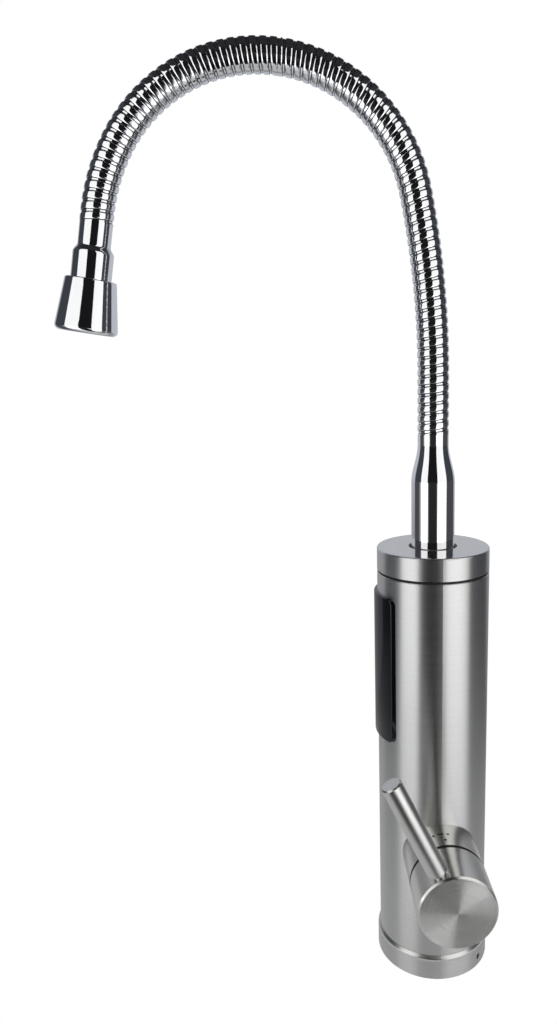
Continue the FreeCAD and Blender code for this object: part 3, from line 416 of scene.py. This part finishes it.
def makeFloor(spec):
    # White to the camera with a soft shadow, the floor's tones to the metal, and paper to other light.
    bpy.ops.mesh.primitive_plane_add(size=spec["size"], location=(0, 0, spec["level"]))
    floor = bpy.context.object
    floor.name = "studioFloor"
    material = bpy.data.materials.new("studioFloor")
    material.cycles.emission_sampling = "NONE"
    graph = Graph(material)
    tone, away = floorTone(graph, spec)
    share = (1 - graph.fade(away, *spec["shadowReach"])) * spec["shadowShare"]
    paper = graph.node("ShaderNodeBsdfDiffuse", {}, {"Color": spec["paper"]})
    plain = graph.node("ShaderNodeEmission", {}, {"Color": studioSpec["white"], "Strength": 1.0})
    lift = graph.node("ShaderNodeEmission", {}, {
        "Color": studioSpec["white"], "Strength": 1 - spec["light"]})
    lifted = graph.node("ShaderNodeAddShader", {}, {0: paper, 1: lift})
    seen = graph.blend(share, plain, lifted)
    table = graph.node("ShaderNodeEmission", {}, {"Strength": 1.0, "Color": tone})
    camera = graph.node("ShaderNodeLightPath", {}, {}, "Is Camera Ray")
    glossy = Wire(graph, camera.socket.node.outputs["Is Glossy Ray"])
    metal = graph.blend(glossy, paper, table)
    graph.finish(graph.blend(camera, metal, seen))
    floor.data.materials.append(material)


makeWorld(worldSpec)
makeSoftBoxes(softBoxSpec)
makeCard(cardSpec)
makeFloor(floorSpec)
bpy.context.scene.view_settings.view_transform = "Standard"
print("studio lit")


# Finishes
steelSpec = {
    "bright": colour(0.87, 0.870, 0.845),
    "dull": colour(0.74, 0.740, 0.718),
    "turnedBright": colour(0.85, 0.845, 0.808),
    "turnedDull": colour(0.665, 0.66, 0.628),
    "lines": 3600.0,  # brush lines per metre
    "streaks": 800.0,  # broader lines
    "scratches": 120000.0,  # lines finer than a pixel, which spread a reflection
    "run": 30.0,  # how soon a line changes along itself
    "lineRough": 0.6,
    "lineShare": 0.5,  # how much the lines add to the streaks' change of tone
    "lineDepth": 0.004 * mm,
    "grain": 0.10,  # how much lines or streaks change the roughness
    "clouds": 38.0,  # slow changes per metre
    "cloudShare": 0.05,  # how much they change the roughness
    "groundCloud": 0.04,
    "roughness": 0.40,  # of the brushed column
    "draw": 0.92,  # how far its highlights are drawn out
    "drawTurn": 0.25,  # of a turn, so that they run along Z
    "seam": (229.6 * mm, 230.1 * mm),  # the cap's lower edge, where shade is painted
    "seamShadeTone": grey(0.02),
    "capTop": 242.0 * mm,  # above this is the cap's flat top, ground smooth
    "shoulder": (11.6 * mm, 14.6 * mm),  # the collar's shoulder, also ground
    "smooth": 0.12,  # roughness where it is ground
    "rub": 0.16,  # how much rougher the shoulder is
    "faceScratch": 5.5,  # how much more the scratches on the knob's face tip the surface
    # black of the printed dots and of the painted shade beside the joint
    "printAndShadeTone": grey(0.004),
}


def turnedCoordinates(graph, centre, axis):
    # Distance along the axis and away from it, and a slow value that changes round it.
    offset = graph.vector("SUBTRACT", graph.place(), centre)
    along = graph.vector("DOT_PRODUCT", offset, axis, out="Value")
    beside = graph.vector("SUBTRACT", offset, graph.vector("PROJECT", offset, axis))
    away = graph.vector("LENGTH", beside, out="Value")
    across = Vector(axis).orthogonal().normalized()
    slow = graph.vector("DOT_PRODUCT", beside, tuple(across), out="Value")
    return along, away, slow


def brushLines(graph, turned, lines, detail=2.0):
    along, away, slow = turned
    spread = graph.node("ShaderNodeCombineXYZ", {}, {
        "X": along * lines, "Y": away * lines, "Z": slow * steelSpec["run"]})
    return graph.noise(spread, 1.0, detail, steelSpec["lineRough"])


def columnSteel(name):
    # Steel brushed round the column, which draws its highlights out along Z.
    # The cap's top and the collar's shoulder are ground.
    spec = steelSpec
    material = bpy.data.materials.new(name)
    graph = Graph(material)
    turned = turnedCoordinates(graph, (0, 0, 0), (0, 0, 1))
    brush = brushLines(graph, turned, spec["lines"])
    streak = brushLines(graph, turned, spec["streaks"])
    cloud = graph.noise(graph.place(), spec["clouds"])
    height = graph.split(graph.place())[2]
    tone = graph.mix(streak + swing(brush, spec["lineShare"]), spec["dull"], spec["bright"])
    # Painted shade: a dark band round the cap's lower edge, beside the gap under the cap.
    tone = graph.mix(graph.between(height, *spec["seam"]), tone, spec["seamShadeTone"])
    drawn = graph.principled({
        "Base Color": tone, "Metallic": 1.0,
        "Roughness": spec["roughness"] + swing(streak, spec["grain"]) + swing(cloud, spec["cloudShare"]),
        "Anisotropic": spec["draw"], "Anisotropic Rotation": spec["drawTurn"],
        "Normal": graph.bump(brush, 1.0, spec["lineDepth"])})
    shoulder = graph.between(height, *spec["shoulder"])
    ground = graph.principled({
        "Base Color": tone, "Metallic": 1.0,
        "Roughness": spec["smooth"] + shoulder * spec["rub"] + swing(cloud, spec["groundCloud"])})
    flat = graph.maths("MAXIMUM", graph.maths("GREATER_THAN", height, spec["capTop"]), shoulder)
    graph.finish(graph.blend(flat, drawn, ground))
    return material


def turnedSteel(name, piece, face=None, marksAndShade=None):
    # Steel turned on a lathe about the piece's axis: fine scratches spread reflections across them.
    # Past the distance "face" along the axis they are deeper; the last argument makes a mask of what is
    # painted black, printed dots and painted shade.
    spec = steelSpec
    centre, axis = piece["centre"], piece["axis"]
    material = bpy.data.materials.new(name)
    graph = Graph(material)
    turned = turnedCoordinates(graph, centre, axis)
    along = turned[0]
    brush = brushLines(graph, turned, spec["lines"])
    scratch = brushLines(graph, turned, spec["scratches"], detail=0.0)
    cloud = graph.noise(graph.place(), spec["clouds"])
    tone = graph.mix(brush, spec["turnedDull"], spec["turnedBright"])
    metal = 1.0
    if marksAndShade:
        mask = marksAndShade(graph, along)
        tone = graph.mix(mask, tone, spec["printAndShadeTone"])
        metal = 1 - mask
    lean = swing(scratch, piece["spread"])
    if face:
        lean = lean * (1 + graph.maths("GREATER_THAN", along, face) * spec["faceScratch"])
    graph.finish(graph.principled({
        "Base Color": tone, "Metallic": metal,
        "Roughness": piece["roughness"] + swing(brush, spec["grain"]) + swing(cloud, spec["cloudShare"]),
        "Normal": graph.tipped(centre, axis, lean)}))
    return material


chromeSpec = {
    "dull": colour(0.90, 0.905, 0.915),
    "bright": colour(0.96, 0.962, 0.965),
    "film": 60.0,  # faint patches per metre
    "filmDetail": 3.0,
    "roughness": 0.035,
    "filmRoughness": 0.03,
    "ripples": 160.0,  # per metre
    "rippleDetail": 1.0,
    "rippleStrength": 0.04,
    "rippleDepth": 0.2 * mm,
}


def chromePlate(name, spec):
    material = bpy.data.materials.new(name)
    graph = Graph(material)
    film = graph.noise(graph.place(), spec["film"], spec["filmDetail"])
    ripple = graph.noise(graph.place(), spec["ripples"], spec["rippleDetail"])
    graph.finish(graph.principled({
        "Base Color": graph.mix(film, spec["dull"], spec["bright"]), "Metallic": 1.0,
        "Roughness": spec["roughness"] + film * spec["filmRoughness"],
        "Normal": graph.bump(ripple, spec["rippleStrength"], spec["rippleDepth"])}))
    return material


windowSpec = {
    "deep": colour(0.004, 0.004, 0.006),
    "pale": colour(0.009, 0.010, 0.014),
    "smears": 45.0,  # per metre
    "smearDetail": 4.0,
    "roughness": 0.05,
    "smearRoughness": 0.05,
    "sheen": colour(0.80, 0.87, 1.0),
    "coat": 0.3,
    "coatRoughness": 0.03,
}


def glossBlack(name, spec):
    material = bpy.data.materials.new(name)
    graph = Graph(material)
    smear = graph.noise(graph.place(), spec["smears"], spec["smearDetail"])
    graph.finish(graph.principled({
        "Base Color": graph.mix(smear, spec["deep"], spec["pale"]),
        "Roughness": spec["roughness"] + smear * spec["smearRoughness"], "Specular Tint": spec["sheen"],
        "Coat Weight": spec["coat"], "Coat Roughness": spec["coatRoughness"]}))
    return material


grainSpec = {
    "detail": 4.0,
    "rough": 0.6,
    "change": 0.15,  # how much the grain changes the roughness
    "strength": 0.25,
    "depth": 0.02 * mm,
}


def plainFinish(name, dark, light, grains, roughness, metal=0.0):
    # A grained finish for the small and inner pieces, with its grains per metre.
    spec = grainSpec
    material = bpy.data.materials.new(name)
    graph = Graph(material)
    grain = graph.noise(graph.place(), grains, spec["detail"], spec["rough"])
    graph.finish(graph.principled({
        "Base Color": graph.mix(grain, dark, light), "Metallic": metal,
        "Roughness": roughness + swing(grain, spec["change"]),
        "Normal": graph.bump(grain, spec["strength"], spec["depth"])}))
    return material


valveSpec = {
    "centre": (0.0, 0.0, 75.05 * mm),
    "axis": (1.0, 0.0, 0.0),
    "roughness": 0.22,
    "spread": 0.4,
    "face": 74.7 * mm,  # from the column's axis to the knob's face
}

leverLean = math.radians(25.4)  # from upright, towards the spout
leverSpec = {
    "centre": (69.4 * mm, 0.0, valveSpec["centre"][2]),
    "axis": (0.0, -math.sin(leverLean), math.cos(leverLean)),
    "roughness": 0.32,
    "spread": 0.3,
}

# Five small printed dots on top of the valve sleeve, and painted shade: a black band on the steel either
# side of the black joint between sleeve and knob
dotsAndShadeSpec = {
    # millimetres out along the valve, degrees from the top
    "dots": ((38.8, -17.3), (38.3, -9.5), (38.5, -4.3), (38.8, 4.7), (43.7, -1.5)),
    "dotRadius": 0.85 * mm,
    "dotCore": 0.72 * mm,  # radius of its full black
    "sleeve": 19.98 * mm,  # radius at which the dots lie
    "joint": (48.25 * mm, 50.45 * mm),  # out along the valve, the span of the painted shade at the joint
    "jointSoft": 0.1 * mm,
}


def dotPlaces(spec):
    for out, angle in spec["dots"]:
        turn = math.radians(angle)
        height = valveSpec["centre"][2] + spec["sleeve"] * math.cos(turn)
        yield (out * mm, spec["sleeve"] * math.sin(turn), height)


# Painted shade: a black band on the steel either side of the joint's real black ring, wider than the ring.
def jointShadeMask(graph, along):
    low, high = dotsAndShadeSpec["joint"]
    soft = dotsAndShadeSpec["jointSoft"]
    return graph.fade(along, low - soft, low + soft) * (1 - graph.fade(along, high - soft, high + soft))


# The printed dots, and the painted shade at the joint.
def sleeveDotsAndShade(graph, along):
    mask = jointShadeMask(graph, along)
    for spot in dotPlaces(dotsAndShadeSpec):
        reach = graph.vector("DISTANCE", graph.place(), spot, out="Value")
        inside = 1 - graph.fade(reach, dotsAndShadeSpec["dotCore"], dotsAndShadeSpec["dotRadius"])
        mask = graph.maths("MAXIMUM", mask, inside)
    return mask


bodySteel = columnSteel("bodySteel")
# The knob and the sleeve carry painted shade beside their joint; the sleeve also has printed dots.
valveSteel = turnedSteel("valveSteel", valveSpec, face=valveSpec["face"], marksAndShade=jointShadeMask)
sleeveSteel = turnedSteel("sleeveSteel", valveSpec, marksAndShade=sleeveDotsAndShade)
leverSteel = turnedSteel("leverSteel", leverSpec)
chrome = chromePlate("chromePlate", chromeSpec)
windowBlack = glossBlack("windowBlack", windowSpec)
rubber = plainFinish("sealRubber", grey(0.006), grey(0.016), grains=900.0, roughness=0.6)
blackPlastic = plainFinish("blackPlastic", colour(0.012, 0.012, 0.013), colour(0.024, 0.024, 0.025),
                           grains=700.0, roughness=0.45)
whitePlastic = plainFinish("whitePlastic", colour(0.72, 0.71, 0.68), colour(0.80, 0.79, 0.76),
                           grains=600.0, roughness=0.4)
aeratorGrey = plainFinish("aeratorGrey", colour(0.30, 0.31, 0.32), colour(0.38, 0.39, 0.40),
                          grains=800.0, roughness=0.5)
brass = plainFinish("valveBrass", colour(0.62, 0.43, 0.17), colour(0.72, 0.53, 0.24),
                    grains=300.0, roughness=0.3, metal=1.0)
plainSteel = plainFinish("plainSteel", grey(0.42), colour(0.56, 0.56, 0.55),
                         grains=400.0, roughness=0.3, metal=1.0)
ceramic = plainFinish("valveCeramic", colour(0.78, 0.77, 0.74), colour(0.85, 0.84, 0.81),
                      grains=500.0, roughness=0.2)
boardGreen = plainFinish("boardGreen", colour(0.01, 0.07, 0.03), colour(0.02, 0.12, 0.05),
                         grains=350.0, roughness=0.4)
digitGrey = plainFinish("digitGrey", grey(0.10), grey(0.15), grains=500.0, roughness=0.4)
reedGlass = plainFinish("reedGlass", colour(0.20, 0.26, 0.24), colour(0.28, 0.34, 0.32),
                        grains=300.0, roughness=0.1)
# Painted shade: a dark finish for the hose's crevices, where shade falls between the ribs.
creviceShade = plainFinish("hoseCreviceShade", colour(0.010, 0.010, 0.011), colour(0.022, 0.022, 0.024),
                      grains=800.0, roughness=0.5)
screwBlack = plainFinish("screwBlack", colour(0.030, 0.030, 0.031), colour(0.055, 0.055, 0.057),
                         grains=900.0, roughness=0.35, metal=1.0)
silicone = plainFinish("tubeSilicone", colour(0.62, 0.60, 0.56), colour(0.70, 0.68, 0.64),
                       grains=500.0, roughness=0.45)

slotFinish = {
    "brushed_stainless": bodySteel,
    "bright_chrome": chrome,
    "window_black": windowBlack,
    "seal_rubber": rubber,
    "black_plastic": blackPlastic,
    "white_plastic": whitePlastic,
    "aerator_plastic": aeratorGrey,
    "valve_brass": brass,
    "plain_steel": plainSteel,
    "valve_ceramic": ceramic,
    "circuit_board": boardGreen,
    "digit_module": digitGrey,
    "reed_glass": reedGlass,
    "tube_silicone": silicone,
}

nodeFinish = {
    "valve_sleeve": sleeveSteel,
    "knob": valveSteel,
    "lever_rod": leverSteel,
    "knob_slide_ring": rubber,
}


def dressFrame():
    for piece in frame["record"]["subparts"]:
        name = piece["node"]
        material = nodeFinish.get(name, slotFinish[piece["material_slot"]])
        nodes[name].data.materials.clear()
        nodes[name].data.materials.append(material)


dressFrame()
print("finishes on the frame's pieces")


# Gooseneck: a straight rise, three bends and a straight drop in the plane X = 0
neckSpec = {
    "foot": 302.0 * mm,
    "rise": 30.0 * mm,
    "bends": ((450.0 * mm, 11.48), (78.92 * mm, 137.9), (95.6 * mm, 20.45)),  # radius, degrees
    "drop": 3.6 * mm,
    "ribs": 74,
    "split": 46,  # rib at which the hose's two halves meet
    "flexLow": (18, 46),  # ribs between which each half flexes
    "flexTip": (47, 73),
    "guidePoints": 420,
    "cutSlack": 0.001 * mm,  # points this near a cut lie on it
    "smooth": 38.0,  # degrees
}


def neckStretches():
    # Each stretch is its length and its curvature.
    yield neckSpec["rise"], 0.0
    for radius, degrees in neckSpec["bends"]:
        yield radius * math.radians(degrees), 1 / radius
    yield neckSpec["drop"], 0.0


neckLength = sum(length for length, bend in neckStretches())
ribPitch = neckLength / neckSpec["ribs"]


def goOn(place, length, bend):
    y, z, heading = place
    if bend == 0:
        return y - length * math.sin(heading), z + length * math.cos(heading), heading
    turn = heading + length * bend
    return (y + (math.cos(turn) - math.cos(heading)) / bend,
            z + (math.sin(turn) - math.sin(heading)) / bend, turn)


def neckPoint(distance):
    # Past either end the straight stretch there goes on.
    place = (0.0, neckSpec["foot"], 0.0)
    for length, bend in neckStretches():
        stretch = min(distance, length)
        place = goOn(place, stretch, bend)
        distance -= stretch
    y, z = goOn(place, distance, 0.0)[:2]
    return Vector((0, y, z))


def drawnLines(name, lines):
    # A mesh of open lines in the plane Y = 0, each drawn from point to point as (radius, height).
    clearSelection()
    bpy.ops.mesh.primitive_plane_add(size=mm)
    thing = bpy.context.object
    thing.name = name
    bpy.ops.object.mode_set(mode="EDIT")
    bpy.ops.mesh.select_mode(type="VERT")
    bpy.ops.mesh.merge(type="CENTER")
    here = Vector((0, 0))
    for number, line in enumerate(lines):
        first = Vector(line[0])
        step = first - here
        if number:
            bpy.ops.mesh.duplicate_move(TRANSFORM_OT_translate={"value": (step.x, 0, step.y)})
        else:
            bpy.ops.transform.translate(value=(step.x, 0, step.y))
        here = first
        for point in line[1:]:
            step = Vector(point) - here
            bpy.ops.mesh.extrude_region_move(TRANSFORM_OT_translate={"value": (step.x, 0, step.y)})
            here = Vector(point)
    bpy.ops.object.mode_set(mode="OBJECT")
    return thing


def woundTube(name, outline, bore, pitch, start, end, sides):
    # A straight tube wound from one pitch of its outline, cut square at both ends and set on the origin.
    turns = math.ceil((end - start) / pitch) + 2
    first = (math.floor(start / pitch) - 1) * pitch
    outside = [(radius, first + height) for radius, height in outline]
    inside = [(bore, first), (bore, first + pitch)]
    tube = drawnLines(name, [outside, inside])
    windRound(tube, sides, pitch, turns)
    for level, keepAbove in ((start, True), (end, False)):
        editAll(tube)
        bpy.ops.mesh.bisect(plane_co=(0, 0, level), plane_no=(0, 0, 1), clear_inner=keepAbove,
                            clear_outer=not keepAbove)
    for level in (start, end):
        selectWhere(tube, "VERT", lambda place: abs(place.z - level) < neckSpec["cutSlack"])
        bpy.ops.mesh.bridge_edge_loops()
    bpy.ops.mesh.select_all(action="SELECT")
    bpy.ops.mesh.normals_make_consistent(inside=False)
    bpy.ops.transform.translate(value=(0, 0, -start))
    bpy.ops.object.mode_set(mode="OBJECT")
    return tube


def neckPath(start, end):
    # A guide along the gooseneck's centreline, for the Curve modifier.
    bpy.ops.curve.primitive_nurbs_path_add()
    guide = bpy.context.object
    guide.data.splines.clear()
    guide.data.dimensions = "3D"
    guide.data.twist_mode = "MINIMUM"
    spline = guide.data.splines.new("POLY")
    last = neckSpec["guidePoints"] - 1
    spline.points.add(last)
    for number, point in enumerate(spline.points):
        place = neckPoint(start + (end - start) * number / last)
        point.co = (place.x, place.y, place.z, 1)
    return guide


def bendAlongNeck(tube, start, end):
    guide = neckPath(start, end)
    applyModifier(tube, "CURVE", object=guide, deform_axis="POS_Z")
    bpy.data.objects.remove(guide)
    shadeSmooth(tube, neckSpec["smooth"])


# Outline of one pitch from the middle of the narrow band between two ribs: band, notch, wall, rounded rib
hoseSpec = {
    "crest": 8.15 * mm,
    "band": 7.65 * mm,
    "notch": 7.45 * mm,
    "shoulder": 7.75 * mm,
    "bandEnd": 0.40 * mm,
    "notchEdges": (0.52 * mm, 0.60 * mm),
    "wallEnd": 0.72 * mm,
    "crestStart": 1.70 * mm,
    "steps": 6,
    "dark": (6.60 * mm, 7.62 * mm),  # faces between these radii get painted shade
    "bore": 5.5 * mm,
    "sides": 88,
}


def ribOutline(spec):
    low, high = spec["notchEdges"]
    rise = [(spec["band"], 0), (spec["band"], spec["bandEnd"]), (spec["notch"], low), (spec["notch"], high)]
    for step in range(spec["steps"] + 1):
        angle = math.pi / 2 * step / spec["steps"]
        rise.append((spec["shoulder"] + (spec["crest"] - spec["shoulder"]) * math.sin(angle),
                     spec["crestStart"] - (spec["crestStart"] - spec["wallEnd"]) * math.cos(angle)))
    fall = [(radius, ribPitch - height) for radius, height in reversed(rise)]
    return rise + fall


def paintCreviceShade(tube, spec):
    # Gives the walls beside the narrow band the tube's second material, a dark painted shade, while the
    # tube is straight.
    low, high = spec["dark"]
    tube.data.materials.append(creviceShade)
    tube.active_material_index = len(tube.data.materials) - 1
    selectWhere(tube, "FACE", lambda place: low < math.hypot(place.x, place.y) < high)
    bpy.ops.object.material_slot_assign()
    bpy.ops.object.mode_set(mode="OBJECT")


def makeHose(name, start, end, spec):
    hose = woundTube(name, ribOutline(spec), spec["bore"], ribPitch, start, end, spec["sides"])
    hose.data.materials.append(chrome)
    paintCreviceShade(hose, spec)
    bendAlongNeck(hose, start, end)
    print(name, len(hose.data.polygons), "faces")
    return hose


linerSpec = {
    "radius": 4.8 * mm,
    "bore": 3.5 * mm,
    "start": 246.0 * mm - neckSpec["foot"],  # along the neck, below the hose's foot
    "end": neckLength + 27.2 * mm,
    "step": 4.0 * mm,
    "sides": 24,
}


def makeLiner(name, start, end, spec):
    outline = [(spec["radius"], 0), (spec["radius"], spec["step"])]
    liner = woundTube(name, outline, spec["bore"], spec["step"], start, end, spec["sides"])
    liner.data.materials.append(silicone)
    bendAlongNeck(liner, start, end)
    return liner


def makeNeckHalf(half, hoseEnds, linerEnds, flex, stands):
    # Half of the hose and of the inner tube in it, bent along the neck's path.
    low, high = [neckPoint(rib * ribPitch) for rib in neckSpec[flex]]
    hose = makeHose(f"hose{half}", *hoseEnds, hoseSpec)
    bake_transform(hose)
    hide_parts(*stands)
    liner = makeLiner(f"liner{half}", *linerEnds, linerSpec)
    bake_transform(liner)
    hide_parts("inner_tube")


def makeGooseneck():
    split = neckSpec["split"] * ribPitch
    makeNeckHalf("FootHalf", (0.0, split), (linerSpec["start"], split),
                 "flexLow", ("hose_lower", "hose_flex_low", "hose_crown"))
    makeNeckHalf("TipHalf", (split, neckLength), (split, linerSpec["end"]),
                 "flexTip", ("hose_flex_tip", "hose_tip"))


makeGooseneck()
print("gooseneck wound and bent")


# Ferrules at the hose's ends, turned from their outlines of (radius, height)
def smoothStep(first, second, steps):
    for step in range(steps + 1):
        share = (1 - math.cos(math.pi * step / steps)) / 2
        yield (first[0] + (second[0] - first[0]) * share, first[1] + (second[1] - first[1]) * step / steps)


def turnedPiece(name, outline, spec):
    piece = drawnLines(name, [outline + outline[:1]])
    windRound(piece, spec["sides"])
    editAll(piece)
    bpy.ops.mesh.normals_make_consistent(inside=False)
    shadeSmooth(piece, spec["smooth"])
    piece.data.materials.append(chrome)
    return piece


spoutFerruleSpec = {
    "bore": 4.9 * mm,
    "stem": 8.0 * mm,
    "stemBottom": 213.5 * mm,
    "grooves": (  # radius, bottom and top: two for o-rings, one for the clip
        (6.4 * mm, 218.65 * mm, 220.35 * mm),
        (6.4 * mm, 223.65 * mm, 225.35 * mm),
        (7.0 * mm, 227.5 * mm, 229.1 * mm),
    ),
    "foot": 235.15 * mm,
    "edge": 0.3 * mm,
    "body": 11.4 * mm,
    "shoulder": 276.7 * mm,
    "neck": 296.8 * mm,
    "neckRadius": 8.05 * mm,
    "top": neckSpec["foot"],
    "steps": 12,
    "sides": 96,
    "smooth": 30.0,  # degrees
}


def makeSpoutFerrule(spec):
    stem, body, bore, edge = spec["stem"], spec["body"], spec["bore"], spec["edge"]
    outline = [(bore, spec["stemBottom"]), (stem, spec["stemBottom"])]
    for radius, low, high in spec["grooves"]:
        outline += [(stem, low), (radius, low), (radius, high), (stem, high)]
    outline += [(stem, spec["foot"]), (body - edge, spec["foot"]), (body, spec["foot"] + edge)]
    outline += smoothStep((body, spec["shoulder"]), (spec["neckRadius"], spec["neck"]), spec["steps"])
    outline += [(spec["neckRadius"], spec["top"]), (bore, spec["top"])]
    ferrule = turnedPiece("spoutFerrule", outline, spec)
    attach(ferrule, "spout_foot")
    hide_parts("spout_ferrule")


tipFerruleSpec = {  # heights from the hose's end
    "bore": 4.9 * mm,
    "neckRadius": 8.0 * mm,
    "neck": 10.8 * mm,
    "shoulder": 15.0 * mm,
    "body": 9.95 * mm,
    "bodyEnd": 27.2 * mm,
    "stem": 7.0 * mm,
    "stemEnd": 34.2 * mm,
    "steps": 12,
    "sides": 96,
    "smooth": 30.0,  # degrees
}


def makeTipFerrule(spec):
    neck, body, stem, bore = spec["neckRadius"], spec["body"], spec["stem"], spec["bore"]
    outline = [(bore, 0), (neck, 0)]
    outline += smoothStep((neck, spec["neck"]), (body, spec["shoulder"]), spec["steps"])
    outline += [(body, spec["bodyEnd"]), (stem, spec["bodyEnd"])]
    outline += [(stem, spec["stemEnd"]), (bore, spec["stemEnd"])]
    ferrule = turnedPiece("tipFerrule", outline, spec)
    ferrule.location = neckPoint(neckLength)
    ferrule.rotation_euler = (math.radians(sum(bend for radius, bend in neckSpec["bends"])), 0, 0)
    applyPlace()
    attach(ferrule, "neck_tip")
    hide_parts("tip_ferrule")


makeSpoutFerrule(spoutFerruleSpec)
makeTipFerrule(tipFerruleSpec)
print("ferrules turned")


# Collar screws: two grub screws with hexagon sockets
screwSpec = {
    "radius": 1.5 * mm,
    "length": 8.0 * mm,
    "outer": 30.85 * mm,  # from the column's axis to the screw's outer end
    "height": 5.7 * mm,
    "angles": (47.2, 227.2),  # degrees round the column
    "edge": 0.15 * mm,
    "edgeSteps": 2,
    "socket": 0.87 * mm,  # to the hexagon's corners
    "socketDepth": 1.6 * mm,
    "sides": 40,
    "smooth": 30.0,  # degrees
}


def radialCylinder(spec, angle, sides, radius, length, middle):
    clearSelection()
    turn = math.radians(angle)
    place = (middle * math.cos(turn), middle * math.sin(turn), spec["height"])
    bpy.ops.mesh.primitive_cylinder_add(vertices=sides, radius=radius, depth=length, location=place,
                                        rotation=(0, math.radians(90), turn))
    applyPlace()
    return bpy.context.object


def makeCollarScrews(spec):
    screws = []
    for angle in spec["angles"]:
        middle = spec["outer"] - spec["length"] / 2
        screw = radialCylinder(spec, angle, spec["sides"], spec["radius"], spec["length"], middle)
        applyModifier(screw, "BEVEL", width=spec["edge"], segments=spec["edgeSteps"], limit_method="ANGLE")
        hexagon = radialCylinder(spec, angle, 6, spec["socket"], spec["socketDepth"] * 2, spec["outer"])
        applyModifier(screw, "BOOLEAN", object=hexagon, operation="DIFFERENCE", solver="EXACT")
        bpy.data.objects.remove(hexagon)
        screws.append(screw)
    clearSelection()
    for screw in screws:
        screw.select_set(True)
    bpy.context.view_layer.objects.active = screws[0]
    bpy.ops.object.join()
    pair = bpy.context.object
    pair.name = "collarScrews"
    shadeSmooth(pair, spec["smooth"])
    pair.data.materials.append(screwBlack)
    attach(pair, "column")
    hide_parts("collar_grub_screws")


makeCollarScrews(screwSpec)
print("collar screws cut")


# Flow spring: a coil in the frame's box for it, built at one length, though the real one shortens as the
# piston rises
springSpec = {
    "wire": 0.45 * mm,  # radius
    "turns": 4,
    "travel": 5.0 * mm,
    "wireSides": 12,
    "steps": 40,  # in a turn
    "smooth": 40.0,  # degrees
}


def makeFlowSpring(spec):
    low, high = [Vector(corner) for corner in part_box("flow_spring")]
    middle = (low + high) / 2
    length = high.z - low.z
    wire = spec["wire"]
    clearSelection()
    bpy.ops.mesh.primitive_circle_add(vertices=spec["wireSides"], radius=wire,
                                      location=((high.x - low.x) / 2 - wire, 0, 0),
                                      rotation=(math.radians(90), 0, 0))
    spring = bpy.context.object
    spring.name = "flowSpring"
    applyPlace()
    windRound(spring, spec["steps"], (length - 2 * wire) / spec["turns"], spec["turns"])
    editAll(spring)
    bpy.ops.mesh.fill_holes(sides=0)
    bpy.ops.mesh.normals_make_consistent(inside=False)
    bpy.ops.transform.translate(value=(middle.x, middle.y, low.z + wire))
    shadeSmooth(spring, spec["smooth"])
    spring.data.materials.append(plainSteel)
    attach(spring, "column")
    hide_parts("flow_spring")
    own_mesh(spring)


makeFlowSpring(springSpec)
print("flow spring coiled")
